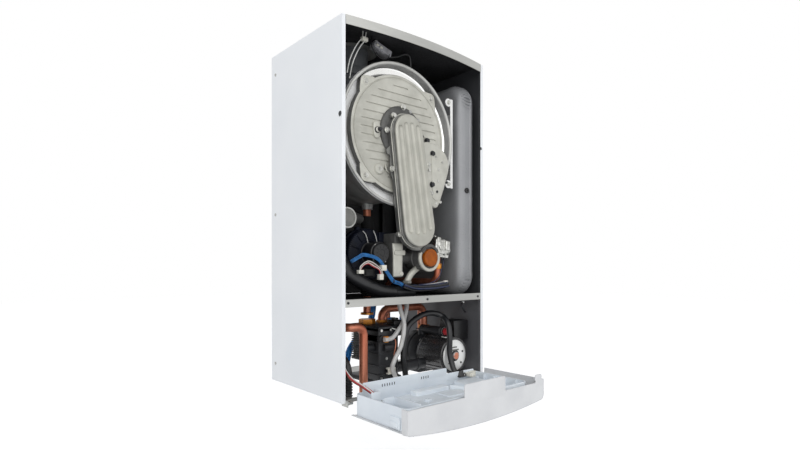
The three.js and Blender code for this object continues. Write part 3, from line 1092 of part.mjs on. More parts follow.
// Pump: body with riser and relief valve, ribbed motor, wheel, vent screw and terminal box
function buildPump(group) {
  const grey = [0x6d6f72, 0.5, 0.4];
  const middleY = -(pump.bodyFront + pump.bodyBack) / 2;
  const motorBack = -pump.bodyFront - seat;
  const postY = -relief.back - relief.postInset;
  const chamber = bar('y', pump.chamberRadius, pump.chamberDepth + overrun,
    [pump.x, -pump.bodyFront - overrun, pump.z], facets.large);
  piece(group, 'pump_body', cut(
    join(pumpBodyForm(0),
      bar('z', pump.riserRadius, pump.riserTop - pump.z, [pump.x + pump.riserX, middleY, pump.z]),
      boxBetween([pump.x - pump.footHalf, -pump.bodyBack - overrun, casing.sheet + seat],
      [pump.x + pump.footHalf, -pump.footBack, pump.footTop + overrun]),
      boxBetween([pump.x - pump.footHalf, middleY, pump.footTop - overrun],
      [pump.x + pump.footHalf, -pump.footBack, pump.footTop + overrun]),
      bar('z', relief.postRadius, relief.z - pump.z, [relief.x, postY, pump.z]),
      bar('y', relief.radius, relief.front - relief.back, [relief.x, -relief.front, relief.z])),
    chamber,
    bar('y', pump.motorRadius + seat, pump.motorFront, [pump.x, motorBack - pump.motorFront, pump.z],
    facets.large),
    bar('y', relief.stem + seat, relief.stemLength + overrun + seat,
    [relief.x, -relief.front - overrun, relief.z], facets.small)),
  paint(...grey));

  const outline = [];
  const corners = pumpRibCount * 4;
  for (let i = 0; i < corners; i += 1) {
    const angle = (i / corners) * 4 * quarter;
    const radius = i % 4 < 2 ? pump.motorRadius : pump.motorRadius - pump.ribDepth;
    outline.push([pump.x + radius * Math.cos(angle), pump.z + radius * Math.sin(angle)]);
  }
  const faceY = -pump.motorFront - pump.faceRise;
  const rotorBore = bar('y', pump.rotorRadius + seat, pump.rotorLength + overrun,
    [pump.x, motorBack - pump.rotorLength, pump.z]);
  const ventBore = bar('y', pump.ventStem + seat, pump.ventDepth + overrun,
    [pump.x, faceY - overrun, pump.z], facets.small);
  piece(group, 'pump_motor', cut(
    join(pushFront(shapeOf(outline), pump.motorFront - pump.bodyFront - seat, motorBack),
      bar('y', pump.faceRadius, pump.faceRise + overrun, [pump.x, faceY, pump.z], facets.large)),
    rotorBore, ventBore), paint(...grey));

  const wheelBack = -pump.bodyFront + pump.chamberDepth - seat;
  piece(group, 'pump_rotor', turned('y', [
    [0, motorBack - pump.rotorLength + seat], [pump.rotorRadius, motorBack - pump.rotorLength + seat],
    [pump.rotorRadius, wheelBack - pump.wheelWidth], [pump.wheelRadius, wheelBack - pump.wheelWidth],
    [pump.wheelRadius, wheelBack], [0, wheelBack],
  ], [pump.x, 0, pump.z]), paint(0x9a9a98, 0.4, 0.6));

  const headBack = faceY - seat;
  piece(group, 'vent_screw', cut(turned('y', [
    [0, headBack - pump.ventRise], [pump.ventRadius - seat, headBack - pump.ventRise],
    [pump.ventRadius, headBack - pump.ventRise + seat],
    [pump.ventRadius, headBack], [pump.ventStem, headBack],
    [pump.ventStem, faceY + pump.ventDepth - seat], [0, faceY + pump.ventDepth - seat],
  ], [pump.x, 0, pump.z], facets.medium), boxBetween(
    [pump.x - pump.ventRadius - overrun, headBack - pump.ventRise - overrun, pump.z - pump.ventSlot / 2],
    [pump.x + pump.ventRadius + overrun, headBack - pump.ventRise / 2, pump.z + pump.ventSlot / 2])),
    paint(0xd9962e, 0.3, 0.9));

  const boxFront = -terminalBox.front;
  const boxRight = terminalBox.left + terminalBox.width;
  const lid = terminalBox.lid;
  piece(group, 'pump_terminal_box', cut(
    join(boxBetween([terminalBox.left + terminalBox.inset, boxFront + lid - overrun / 2,
    terminalBox.bottom + terminalBox.inset],
      [boxRight - terminalBox.inset, boxFront + terminalBox.depth, terminalBox.top - terminalBox.inset]),
      pushFront(roundedRect(terminalBox.left, terminalBox.bottom, boxRight, terminalBox.top, lid), lid,
      boxFront + lid, { curveSegments: 3 })),
    bar('y', pump.motorRadius + seat, pump.motorFront, [pump.x, -pump.motorFront, pump.z], facets.great)),
  paint(0x1d1d1f, 0.5, 0.05));

  const knobBack = -relief.front - seat;
  piece(group, 'relief_knob', turned('y', [
    [0, knobBack - relief.knobLength], [relief.knobRadius - relief.knobEdge,
    knobBack - relief.knobLength],
    [relief.knobRadius, knobBack - relief.knobLength + relief.knobEdge], [relief.knobRadius, knobBack],
    [relief.stem, knobBack],
    [relief.stem, -relief.front + relief.stemLength], [0, -relief.front + relief.stemLength],
  ], [relief.x, 0, relief.z], facets.medium), paint(0xc0303a, 0.4, 0));
}

// Grey hoses and the pump cable in the lower compartment
function buildHoses(group) {
  piece(group, 'grey_hose_front', hose(routed(frontHoseShares), hoses.radius, hoseSteps.front,
    facets.thin), paint(0x9c9b99, 0.5, 0));
  piece(group, 'grey_hose_side', hose(routed(sideHoseShares), hoses.radius, hoseSteps.side, facets.thin),
    paint(0x9c9b99, 0.5, 0));
  piece(group, 'pump_cable', hose(routed(cableShares), hoses.cableRadius, hoseSteps.cable, facets.thin),
    paint(0x141416, 0.6, 0));
  piece(group, 'tray_wiring', hose(routed(trayWireShares), hoses.wireRadius, hoseSteps.wires,
    facets.thin), paint(0x141416, 0.6, 0));
}

// Control tray, drawn folded down: x across, outward from the hinge towards -Y, up from the hinge line
function buildTray(group) {
  const hinged = new THREE.Group();
  hinged.position.set(0, hingeY, tray.hingeZ);
  group.add(hinged);
  const fascia = [0xd6d6d6, 0.45, 0];
  const slab = (x0, x1, a0, a1, b0, b1) => boxBetween([x0, -a1, b0], [x1, -a0, b1]);

  const bowl = (shrink) => {
    const half = tray.halfWidth - shrink;
    const radius = (half * half + tray.bow * tray.bow) / (2 * tray.bow);
    const low = -tray.edgeDrop + shrink;
    const swing = Math.asin(half / radius);
    const shape = new THREE.Shape();
    shape.moveTo(half, tray.rise + shrink * 2);
    shape.lineTo(-half, tray.rise + shrink * 2);
    shape.absarc(0, low - tray.bow + radius, radius, -quarter - swing, -quarter + swing);
    return shape;
  };
  const smooth = { curveSegments: facets.small };
  const outer = pushFront(bowl(0), tray.reach - tray.hingeSide, -tray.hingeSide, smooth);
  const inner = pushFront(bowl(tray.wall), tray.reach - tray.wall - tray.hingeSide + overrun,
    -tray.hingeSide + overrun, smooth);
  const wallFrom = tray.reach - tray.wall;
  const shell = cut(outer, inner,
    slab(tray.middleRight, tray.notchRight, wallFrom - overrun, tray.reach + overrun, tray.notchRise,
    tray.rise + overrun),
    slab(-tray.halfWidth - overrun, -tray.halfWidth + tray.wall + overrun, 0, tray.endWallFrom,
    controlBox.bottom, tray.rise + overrun));
  const ears = [-1, 1].map((side) => {
    const x0 = side < 0 ? -tray.halfWidth : tray.halfWidth - tray.earWidth;
    const arm = new THREE.Shape();
    arm.absarc(0, 0, tray.earRadius, 0, 4 * quarter);
    const plate = join(pushSide(arm, tray.earWidth, x0),
      slab(x0, x0 + tray.earWidth, 0, tray.hingeSide + tray.earRadius, -tray.earRadius * 2,
      tray.earRadius));
    return cut(plate, bar('x', tray.pinRadius + tray.clearance, tray.earWidth + 2 * overrun,
      [x0 - overrun, 0, 0], facets.small));
  });
  const skinInner = (x) => -tray.edgeDrop + tray.wall - tray.bow * (1 - (x / tray.halfWidth) ** 2);
  const pads = [-1, 1].flatMap((side) => [tray.padNear, tray.padFar].map((a) => bar('z', tray.padRadius,
    controlBox.bottom - seat - skinInner(tray.padX) + tray.wall / 2,
    [side * tray.padX, -a, skinInner(tray.padX) - tray.wall / 2], facets.small)));
  const dials = [0, 1].map((i) => dial.firstX + i * dial.pitch);
  const dialPads = dials.map((x) => bar('z', dial.padRadius, dial.padDrop + skinInner(x),
    [x, -dial.reach, -dial.padDrop], facets.large));
  const bezelHalf = display.width / 2 + display.bezel;
  const bezelDeep = display.depth / 2 + display.bezel;
  const bezel = slab(display.x - bezelHalf, display.x + bezelHalf, display.reach - bezelDeep,
    display.reach + bezelDeep,
    -dial.padDrop, skinInner(0) + tray.wall / 2);
  const plateTop = -display.drop + display.sheet;
  const recess = slab(display.x - display.width / 2 - seat, display.x + display.width / 2 + seat,
    display.reach - display.depth / 2 - seat, display.reach + display.depth / 2 + seat,
    -dial.padDrop - overrun, plateTop + seat);
  const sight = slab(display.x - display.width / 2 + display.bezel,
    display.x + display.width / 2 - display.bezel,
    display.reach - display.depth / 2 + display.bezel, display.reach + display.depth / 2 - display.bezel,
    -dial.padDrop - overrun, controlBox.bottom - seat);
  const buttonHole = bar('z', button.radius + button.clearance, tray.edgeDrop + tray.bow,
    [button.x, -button.reach, -dial.padDrop - overrun]);
  const buttonPad = bar('z', button.radius + button.clearance + button.stand, dial.padDrop + skinInner(0),
    [button.x, -button.reach, -dial.padDrop]);
  const dialHoles = dials.map((x) => bar('z', dial.shaftRadius + dial.clearance, dial.padDrop,
    [x, -dial.reach, -dial.padDrop - overrun], facets.small));
  piece(hinged, 'control_fascia', cut(join(shell, ...ears, ...pads, ...dialPads, bezel, buttonPad,
    slab(tray.middleLeft, tray.middleRight, wallFrom, tray.reach, tray.rise - overrun, tray.middleRise),
    slab(tray.notchRight, tray.tabRight, wallFrom, tray.reach, tray.rise - overrun, tray.tabRise)),
  recess, sight, buttonHole, ...dialHoles), paint(...fascia));

  const c = controlBox;
  const inside = { left: c.left + c.wall, right: c.right - c.wall, near: c.near + c.wall,
    far: c.far - c.wall, floor: c.bottom + c.wall };
  const tub = cut(
    raise(roundedRect(c.left, -c.far, c.right, -c.near, c.corner), c.rise - c.bottom, c.bottom,
    { curveSegments: 5 }),
    raise(roundedRect(inside.left, -inside.far, inside.right, -inside.near, c.corner - c.wall), c.rise,
    inside.floor, { curveSegments: 5 }),
    raise(roundedRect(inside.left, -inside.far, inside.right, -inside.near, c.corner - c.wall), c.rise, 0,
    { curveSegments: 5 }));
  const raised = slab(c.backLeft, c.backRight, c.near, c.near + c.wall, c.rise - overrun, c.backRise);
  const slots = [];
  for (let i = 0; i < backSlotCount; i += 1) {
    const x = c.backLeft + c.slotPitch + i * c.slotPitch;
    slots.push(slab(x, x + c.slotWidth, c.near - overrun, c.near + c.wall + overrun,
      c.backRise - 2 * c.slotHeight, c.backRise - c.slotHeight));
  }
  const stripTop = inside.floor + c.stripHeight;
  const strip = slab(c.stripLeft, c.stripLeft + c.stripWidth, inside.near - overrun / 2,
    inside.near + c.stripDepth, inside.floor - c.wall / 2, stripTop);
  const stripSlots = [];
  for (let i = 0; i < stripSlotCount; i += 1) {
    const x = c.stripLeft + c.wall + i * (c.stripWidth - 2 * c.wall) / stripSlotCount;
    stripSlots.push(slab(x + c.wall, x + (c.stripWidth - 2 * c.wall) / stripSlotCount,
      inside.near + 2 * c.wall, inside.near + c.stripDepth + overrun,
      stripTop - c.stripHeight / 2, stripTop + overrun));
  }
  const boardPosts = [board.left + c.corner, board.right - c.corner].flatMap((x) =>
    [board.near + c.corner, board.far - c.corner]
    .map((a) => bar('z', c.postRadius, board.level - seat - inside.floor + c.wall / 2,
    [x, -a, inside.floor - c.wall / 2], facets.thin)));
  piece(hinged, 'control_box', join(cut(join(tub, raised, strip), ...slots, ...stripSlots),
    ...boardPosts), paint(0xe3eaf0, 0.5, 0));

  const relays = [];
  for (let i = 0; i < relayCount; i += 1) {
    const x = board.left + board.relay / 2 + i * board.relayPitch;
    relays.push(slab(x, x + board.relay, board.near + board.relay / 2, board.near + board.relay * 3 / 2,
      board.level + board.sheet - overrun / 4, board.level + board.sheet + board.relayHeight));
  }
  piece(hinged, 'circuit_board',
    join(slab(board.left, board.right, board.near, board.far, board.level, board.level + board.sheet),
    ...relays),
    paint(0x1f6b3a, 0.5, 0));

  const lidFloor = inside.floor + seat;
  const lid = cut(join(
    raise(roundedRect(boardCover.left, -boardCover.far, boardCover.right, -boardCover.near,
    boardCover.corner), boardCover.top - lidFloor, lidFloor,
      { curveSegments: 3 }),
    slab(boardCover.right - boardCover.stepWidth, boardCover.right - boardCover.corner,
    boardCover.near + boardCover.corner,
      boardCover.near + boardCover.corner + boardCover.stepDepth, boardCover.top - overrun,
      boardCover.top + boardCover.stepRise)),
  slab(boardCover.left + boardCover.sheet, boardCover.right - boardCover.sheet,
  boardCover.near + boardCover.sheet,
    boardCover.far - boardCover.sheet, lidFloor - overrun, boardCover.top - boardCover.sheet),
  bar('z', boardCover.hole, boardCover.top + overrun, [boardCover.holeX, -boardCover.holeReach, 0],
  facets.medium));
  piece(hinged, 'board_cover', lid, paint(0xcdd6df, 0.5, 0));

  dials.forEach((x, i) => {
    const top = -dial.padDrop - seat;
    const body = join(
      turned('z', [
        [0, top - dial.height], [dial.body - dial.ridge / 4, top - dial.height],
        [dial.body, top - dial.height + dial.ridge / 4],
        [dial.body, top - dial.skirt], [dial.radius, top - dial.skirt / 2], [dial.radius, top],
        [dial.shaftRadius, top],
        [dial.shaftRadius, top + dial.shaftLength], [0, top + dial.shaftLength],
      ], [0, 0, 0], facets.medium),
      slab(-dial.ridge / 2, dial.ridge / 2, -dial.body, dial.body, top - dial.height - dial.ridge / 2,
      top - dial.height + dial.ridge / 2));
    piece(hinged, i === 0 ? 'temperature_knob_left' : 'temperature_knob_right', body,
      paint(0xe9e9e7, 0.4, 0), [x, -dial.reach, 0]);
  });
  piece(hinged, 'mode_button', turned('z', [
    [0, -dial.padDrop - button.stand], [button.radius - seat, -dial.padDrop - button.stand],
    [button.radius, -dial.padDrop - button.stand + seat], [button.radius, -dial.padDrop + button.stand],
    [button.stemRadius, -dial.padDrop + button.stand],
    [button.stemRadius, -dial.padDrop + button.stemLength],
    [0, -dial.padDrop + button.stemLength],
  ], [0, 0, 0], facets.medium), paint(0xe9e9e7, 0.4, 0), [button.x, -button.reach, 0]);
  piece(hinged, 'display_window', slab(display.x - display.width / 2, display.x + display.width / 2,
    display.reach - display.depth / 2, display.reach + display.depth / 2, -display.drop, plateTop),
    paint(0x15181b, 0.15, 0));
}

const boiler = new THREE.Group();
boiler.position.set(0, 0, -casing.hangHeight);
buildCasing(boiler);
buildExchanger(boiler);
buildDoor(boiler);
buildDuct(boiler);
buildFan(boiler);
buildGas(boiler);
buildVessel(boiler);
buildFlue(boiler);
buildIgnition(boiler);
buildHydraulics(boiler);
buildPump(boiler);
buildHoses(boiler);
buildTray(boiler);

export default boiler;
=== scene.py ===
# %% [markdown]
# The frame. The boiler was first drawn as measured solids and packed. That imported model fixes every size
# and every joint here, so each new piece is put where the solids say and rides on the solid's body.
# Places below are in the casing's own millimetres: x from its centre line, y out from the wall with the
# front at -295, and z up from its bottom edge. One function turns them into the frame's metres.

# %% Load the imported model
import math
import bmesh
import bpy
from mathutils import Matrix, Vector


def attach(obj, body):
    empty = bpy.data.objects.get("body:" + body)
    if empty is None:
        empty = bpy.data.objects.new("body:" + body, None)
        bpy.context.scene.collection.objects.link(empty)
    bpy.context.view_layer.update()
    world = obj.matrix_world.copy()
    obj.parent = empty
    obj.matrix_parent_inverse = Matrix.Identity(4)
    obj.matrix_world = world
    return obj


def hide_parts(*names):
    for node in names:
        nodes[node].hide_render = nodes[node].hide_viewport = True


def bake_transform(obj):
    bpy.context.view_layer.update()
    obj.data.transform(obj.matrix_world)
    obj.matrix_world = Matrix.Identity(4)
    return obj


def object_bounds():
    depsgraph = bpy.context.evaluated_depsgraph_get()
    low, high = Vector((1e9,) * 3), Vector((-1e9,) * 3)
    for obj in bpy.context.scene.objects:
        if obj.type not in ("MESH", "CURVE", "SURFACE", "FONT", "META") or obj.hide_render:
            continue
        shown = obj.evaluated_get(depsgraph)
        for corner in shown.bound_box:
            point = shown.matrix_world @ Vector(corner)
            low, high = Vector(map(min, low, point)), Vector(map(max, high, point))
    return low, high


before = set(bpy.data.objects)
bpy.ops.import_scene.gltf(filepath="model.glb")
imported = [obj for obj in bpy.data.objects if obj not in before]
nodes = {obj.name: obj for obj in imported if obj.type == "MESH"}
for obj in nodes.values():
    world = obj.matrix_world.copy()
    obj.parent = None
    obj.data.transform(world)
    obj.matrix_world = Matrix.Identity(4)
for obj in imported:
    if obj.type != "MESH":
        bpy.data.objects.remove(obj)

cad_box = [list(corner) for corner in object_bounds()]
origin_height = 700  # millimetres from the casing's bottom edge up to the frame's origin
print("nodes", len(nodes), "box", [[round(v, 4) for v in corner] for corner in cad_box])


def spot(x, y, z):
    return Vector((x, y, z - origin_height)) / 1000


def told(name, piece):
    print(name, [round(v, 4) for v in piece.dimensions], "faces", len(piece.data.polygons))


def off(axis, x, z):
    """How far a place is from an axis that runs along y, in millimetres."""
    return math.hypot(x - axis[0], z - axis[2])


# Axes and places that several pieces share. The first five axes run along y.
ring_axis, fan_axis, mixer_axis = (-38, 0, 543), (-77, 0, 290), (38, 0, 281)
pump_axis, relief_axis = (130, 0, 52), (117, 0, 108)
fan_x, fan_z, return_x, return_y, knob_x, knob_y = -77, 290, -37, -150, 37, -151
flue_x, flue_y, flue_z = -82, -150, 745.3
dial_xs, dial_y, dial_face = (-118, -54), -396, -37

# %% [markdown]
# The camera stands a little under the boiler's middle, to its left and close, as the photograph's did:
# both upright edges stay upright, and the side wall runs steeply away. That needs a level camera whose
# frame is shifted, not a tilted one. It was fitted to the casing's eight corners.

# %% Camera
eye = bpy.data.cameras.new("camera")
camera = bpy.data.objects.new("camera", eye)
bpy.context.scene.collection.objects.link(camera)
eye.sensor_width, eye.lens, eye.shift_x, eye.shift_y = 36, 23.805, -0.0275, 0.05
camera.location = (-0.756, -1.148, -0.435)
camera.rotation_euler = (math.radians(90), 0, math.radians(-41.7))
bpy.context.scene.camera = camera
bpy.context.scene.view_settings.view_transform = "Standard"
print("camera", [round(v, 3) for v in camera.location])

# %% [markdown]
# A material is a small tree of nodes. One helper adds a node with its settings and its links, and one
# turns the sRGB hex values of a colour card into the linear light that Blender reckons in.
# Most finishes here differ in the same few ways: two tones that drift over patches, a fine grain that
# lifts and roughens the surface, and how far the grain is stretched. One recipe takes those in millimetres.

# %% Node and colour helpers
def add(tree, kind, settings=None, links=None):
    made = tree.nodes.new(kind)
    for key, value in (settings or {}).items():
        if isinstance(key, int) or key in made.inputs:
            made.inputs[key].default_value = value
        else:
            setattr(made, key, value)
    for key, socket in (links or {}).items():
        tree.links.new(socket, made.inputs[key])
    return made


def tone(card):
    parts = [int(card[i:i + 2], 16) / 255 for i in (0, 2, 4)]
    return [v / 12.92 if v <= 0.04045 else ((v + 0.055) / 1.055) ** 2.4 for v in parts] + [1]


def maths(tree, operation, *sockets, than=None):
    settings = {"operation": operation} if than is None else {"operation": operation, 1: than}
    return add(tree, "ShaderNodeMath", settings, dict(enumerate(sockets))).outputs[0]


def fade(tree, factor, stops, cards):
    """A ramp between two colours, led by the factor."""
    ramp = add(tree, "ShaderNodeValToRGB", None, {"Fac": factor})
    for stop, where, card in zip(ramp.color_ramp.elements, stops, cards):
        stop.position, stop.color = where, tone(card)
    return ramp.outputs["Color"]


def new_finish(name, slot, **shader):
    made = bpy.data.materials.new(name)
    made.use_nodes = True
    tree = made.node_tree
    bsdf = tree.nodes["Principled BSDF"]
    for key, value in shader.items():
        bsdf.inputs[key.replace("_", " ").title().replace("Ior", "IOR")].default_value = value
    place = add(tree, "ShaderNodeTexCoord").outputs["Object"]
    return made, tree, bsdf, place


def film(tree, bsdf, colour, fine, limits, rough, rise):
    """Links a colour, and a roughness and a lift in mm that both follow the fine noise."""
    ranges = {"From Min": limits[0], "From Max": limits[1], "To Min": rough[0], "To Max": rough[1]}
    spread = add(tree, "ShaderNodeMapRange", ranges, {"Value": fine})
    lift = add(tree, "ShaderNodeBump", {"Distance": rise / 1000, "Strength": 1}, {"Height": fine})
    tree.links.new(colour, bsdf.inputs["Base Color"])
    tree.links.new(spread.outputs["Result"], bsdf.inputs["Roughness"])
    tree.links.new(lift.outputs["Normal"], bsdf.inputs["Normal"])


def grained(name, slot, tones, patch, grain, rise, rough, stretch=(1, 1, 1), **shader):
    """Two tones over patches, and a grain of that pitch and height, all in millimetres."""
    made, tree, bsdf, place = new_finish(name, slot, **shader)
    drawn = add(tree, "ShaderNodeMapping", {"Scale": stretch}, {"Vector": place}).outputs[0]
    drift = add(tree, "ShaderNodeTexNoise", {"Scale": 1000 / patch, "Detail": 4}, {"Vector": drawn})
    fine = add(tree, "ShaderNodeTexNoise", {"Scale": 1000 / grain, "Detail": 3}, {"Vector": drawn})
    colour = fade(tree, drift.outputs["Fac"], (0.32, 0.68), tones)
    film(tree, bsdf, colour, fine.outputs["Fac"], (0.3, 0.7), rough, rise)
    return made


# %% [markdown]
# Sheet and cast metals. The casing is sheet steel, powder coated white outside; its charcoal inside is partly
# the chamber's liner and partly painted shade. The exchanger is pressed and polished stainless, which mirrors
# its surroundings in bands. The door and the duct are die-cast aluminium, blasted after casting: pale, dull
# and slightly pitted. The vessel is pressed steel under a smooth grey paint.

# %% Metals
def coated_outside():
    """White powder coat outside and on the front returns; charcoal inside, partly the liner and partly
    painted shade.
    """
    made, tree, bsdf, place = new_finish("powder_coated_steel", "casing_white", specular_ior_level=0.45)
    axes = add(tree, "ShaderNodeSeparateXYZ", None, {"Vector": place}).outputs

    # The outer faces, the front returns and the upper edge are white, by their place in metres
    across = maths(tree, "ABSOLUTE", axes["X"])
    outer = maths(tree, "GREATER_THAN", across, than=0.1994)
    returns = maths(tree, "LESS_THAN", axes["Y"], than=-0.2942)
    upper = maths(tree, "GREATER_THAN", axes["Z"], than=0.0446)
    shown = maths(tree, "MAXIMUM", maths(tree, "MAXIMUM", outer, returns), upper)
    # Below the chamber's floor the inner faces are mid grey instead of charcoal
    below = maths(tree, "LESS_THAN", axes["Z"], than=-0.509)
    # Orange peel of the powder, 2.5 mm across, and slow drift of its film
    peel = add(tree, "ShaderNodeTexNoise", {"Scale": 400, "Detail": 2}, {"Vector": place}).outputs["Fac"]
    drift = add(tree, "ShaderNodeTexNoise", {"Scale": 5, "Detail": 2}, {"Vector": place}).outputs["Fac"]
    # The inside's charcoal is partly the liner's own colour and partly painted shade of the deep interior
    white, dark = [fade(tree, drift, (0.3, 0.7), cards)
        for cards in (("F0F2F4", "E9ECEF"), ("343537", "424346"))]
    inside = add(tree, "ShaderNodeMix", {"data_type": "RGBA", 7: tone("5C5C5F")}, {0: below, 6: dark})
    colour = add(tree, "ShaderNodeMix", {"data_type": "RGBA"}, {0: shown, 6: inside.outputs[2], 7: white})
    film(tree, bsdf, colour.outputs[2], peel, (0, 1), (0.34, 0.46), 0.04)
    return made


powder = coated_outside()
lip_grey = grained("brushed_zinc_steel", "casing_grey", ("B9B9B5", "A6A6A2"), 40, 3, 0.02, (0.3, 0.45),
    (0.15, 1, 1), metallic=0.55)
# Charcoal for the back, the floor, their ribs and the roof: partly the chamber's liner, partly painted shade
liner_and_shade = grained("charcoal_liner_and_painted_shade", "inner_panel", ("1C1C1E", "272729"), 60, 4, 0.05, (0.5, 0.7))
stainless = grained("polished_stainless", "stainless", ("F6F6F4", "EBEBE8"), 90, 30, 0.02, (0.1, 0.2),
    metallic=0.9)
dull_steel = grained("brushed_stainless", "stainless", ("BCBCBA", "9C9C9A"), 60, 6, 0.02, (0.38, 0.54),
    (1, 1, 0.3), metallic=0.5)
strip_steel = grained("bright_strip_steel", "stainless", ("F0F0EE", "E2E2E0"), 30, 2, 0.01, (0.3, 0.45),
    (1, 1, 0.1), metallic=0.35)
# A plain white that paints light on the dimly lit left and lower part of the dish
painted_light_dish = grained("white_painted_light", "stainless", ("FFFFFF", "F4F4F2"), 60, 6, 0.01, (0.4, 0.55),
    metallic=0.0)
cast = grained("blasted_cast_aluminium", "cast_alloy", ("C2C1B8", "B1B0A7"), 26, 1.1, 0.1, (0.5, 0.64),
    metallic=0.3)
cast_pale = grained("tumbled_cast_aluminium", "cast_alloy", ("B6B5AC", "A5A49B"), 34, 1.3, 0.08,
    (0.44, 0.58), metallic=0.35)
rim_steel = grained("satin_rolled_rim", "stainless", ("C2C2BE", "AFAFAB"), 50, 4, 0.02, (0.4, 0.55),
    metallic=0.35)
# A darker copy of the cast finish that paints the shade on shaded faces and shaded parts
cast_shade = grained("painted_shade_cast_aluminium", "cast_alloy", ("5C5C5A", "474746"), 22, 1.1, 0.1, (0.5, 0.64),
    metallic=0.3)
# A mid-grey copy of the cast finish; on the step, the lid's sides and the pressure switch it paints half
# shade
cast_mid = grained("mid_grey_cast_alloy", "cast_alloy", ("7F7F7B", "686865"), 16, 1.1, 0.1, (0.42, 0.58),
    metallic=0.35)
zinc = grained("zinc_plated_steel", "cast_alloy", ("D2D2CE", "A5A5A0"), 8, 1, 0.01, (0.22, 0.38),
    metallic=0.95)
vessel_paint = grained("smooth_grey_enamel", "vessel_paint", ("949597", "868789"), 120, 2.4, 0.03,
    (0.26, 0.38), metallic=0.1)
dark_iron = grained("cataphoresis_coated_iron", "dark_metal", ("2A2B2E", "1D1E21"), 18, 1.2, 0.08,
    (0.42, 0.6), metallic=0.2)

# %% [markdown]
# Copper and brass. Pipes are drawn copper, so their marks run along them, and they brown in patches
# where flux and fingers touched. Nuts are turned brass, more golden and sharper in their highlights.

# %% Copper and brass
copper = grained("drawn_copper", "copper", ("D08A70", "B0644A"), 30, 1.4, 0.015, (0.34, 0.5), (1, 1, 0.25),
    metallic=0.6)
brass = grained("turned_brass", "brass", ("DE9232", "B9701E"), 14, 0.8, 0.02, (0.28, 0.42), metallic=0.35)

# %% [markdown]
# Plastics and rubber. The tray is moulded ABS: a cool white inside and a plain grey-white outside, with
# the faint ripple of a mould. The fan's scroll is glass-filled nylon, nearly black with a blue cast.
# Hoses are extruded rubber, cables are PVC, and the seals are felt and silicone.

# %% Plastics
abs_white = grained("moulded_abs_fascia", "fascia_plastic", ("DEDFE0", "D3D4D6"), 70, 1.6, 0.02, (0.36, 0.48))
abs_inner = grained("moulded_abs_box", "box_plastic", ("E6ECF1", "DAE1E8"), 60, 1.8, 0.02, (0.32, 0.44))
nylon = grained("glass_filled_nylon", "black_plastic", ("0B1120", "050914"), 24, 1.2, 0.04, (0.5, 0.66),
    specular_ior_level=0.22)
black_abs = grained("moulded_black_abs", "black_plastic", ("151517", "0C0C0E"), 20, 1, 0.03, (0.32, 0.48))
rubber = grained("extruded_black_rubber", "wiring_black", ("1B1C1F", "111214"), 18, 1.2, 0.03, (0.34, 0.5))
grey_pvc = grained("soft_grey_pvc", "hose_grey", ("C9C8C6", "B4B3B1"), 14, 1.4, 0.02, (0.3, 0.42))
# Near-black foam, used as painted shade over the return pipe
shade_foam = grained("black_shade_sleeve", "seal", ("19191A", "0F0F10"), 8, 1.6, 0.2, (0.8, 0.95))
pump_paint = grained("black_stove_enamel", "dark_metal", ("3B3A3B", "2B2A2B"), 40, 2.2, 0.03, (0.2, 0.32))
felt = grained("silicone_seal", "seal", ("3C3A38", "2A2827"), 6, 0.9, 0.05, (0.7, 0.9))
flue_plastic = grained("grey_polypropylene", "flue_plastic", ("6E7174", "5C5F62"), 50, 1.8, 0.02, (0.35, 0.5))
white_flue = grained("white_polypropylene", "casing_white", ("E4E6E8", "D8DADC"), 50, 1.8, 0.02, (0.35, 0.5))
unit_grey = grained("potted_grey_unit", "unit_grey", ("AFAFB3", "949498"), 10, 1.2, 0.03, (0.35, 0.5))
orange_cap = grained("orange_nylon", "orange_plastic", ("A3540E", "874208"), 12, 0.9, 0.04, (0.4, 0.55),
    specular_ior_level=0.25)
azure = grained("azure_polythene", "azure_plastic", ("3FA8FF", "1F90F2"), 20, 1.6, 0.02, (0.3, 0.42))
red_abs = grained("red_nylon", "red_plastic", ("C8343C", "A8242C"), 10, 1, 0.03, (0.3, 0.45))
connector = grained("natural_nylon", "ceramic_white", ("E8E6DC", "D4D2C6"), 8, 0.8, 0.02, (0.35, 0.5))
porcelain = grained("glazed_alumina", "ceramic_white", ("F1EFE8", "E2E0D8"), 10, 1.2, 0.01, (0.15, 0.28))


def wire(colour, slot, tones):
    return grained(colour + "_pvc_wire", slot, tones, 9, 1, 0.01, (0.3, 0.42))


blue_wire = wire("blue", "wiring_grey", ("2473B4", "17568C"))
navy_wire = wire("navy", "wiring_black", ("1E2C52", "131D38"))
red_wire = wire("red", "wiring_black", ("B8262C", "8E1A20"))
white_wire = wire("white", "wiring_grey", ("DCDCD8", "C4C4C0"))
brown_wire = wire("brown", "wiring_black", ("6A3A22", "4E2815"))
laminate = grained("green_board_laminate", "board_green", ("1E5A3A", "174A2F"), 12, 0.8, 0.02, (0.28, 0.4))
glass_dark = grained("tinted_acrylic", "window_dark", ("14181C", "0C0F12"), 30, 4, 0.004, (0.06, 0.12))
impeller_grey = grained("grey_moulded_wheel", "wheel_plastic", ("A0A09E", "8A8A88"), 16, 1.2, 0.02,
    (0.35, 0.5))

# %% [markdown]
# Every solid that stays in view gets one of these finishes. The others will be hidden behind a finer
# piece that stands for them, and they are dressed all the same, since a finish costs nothing.

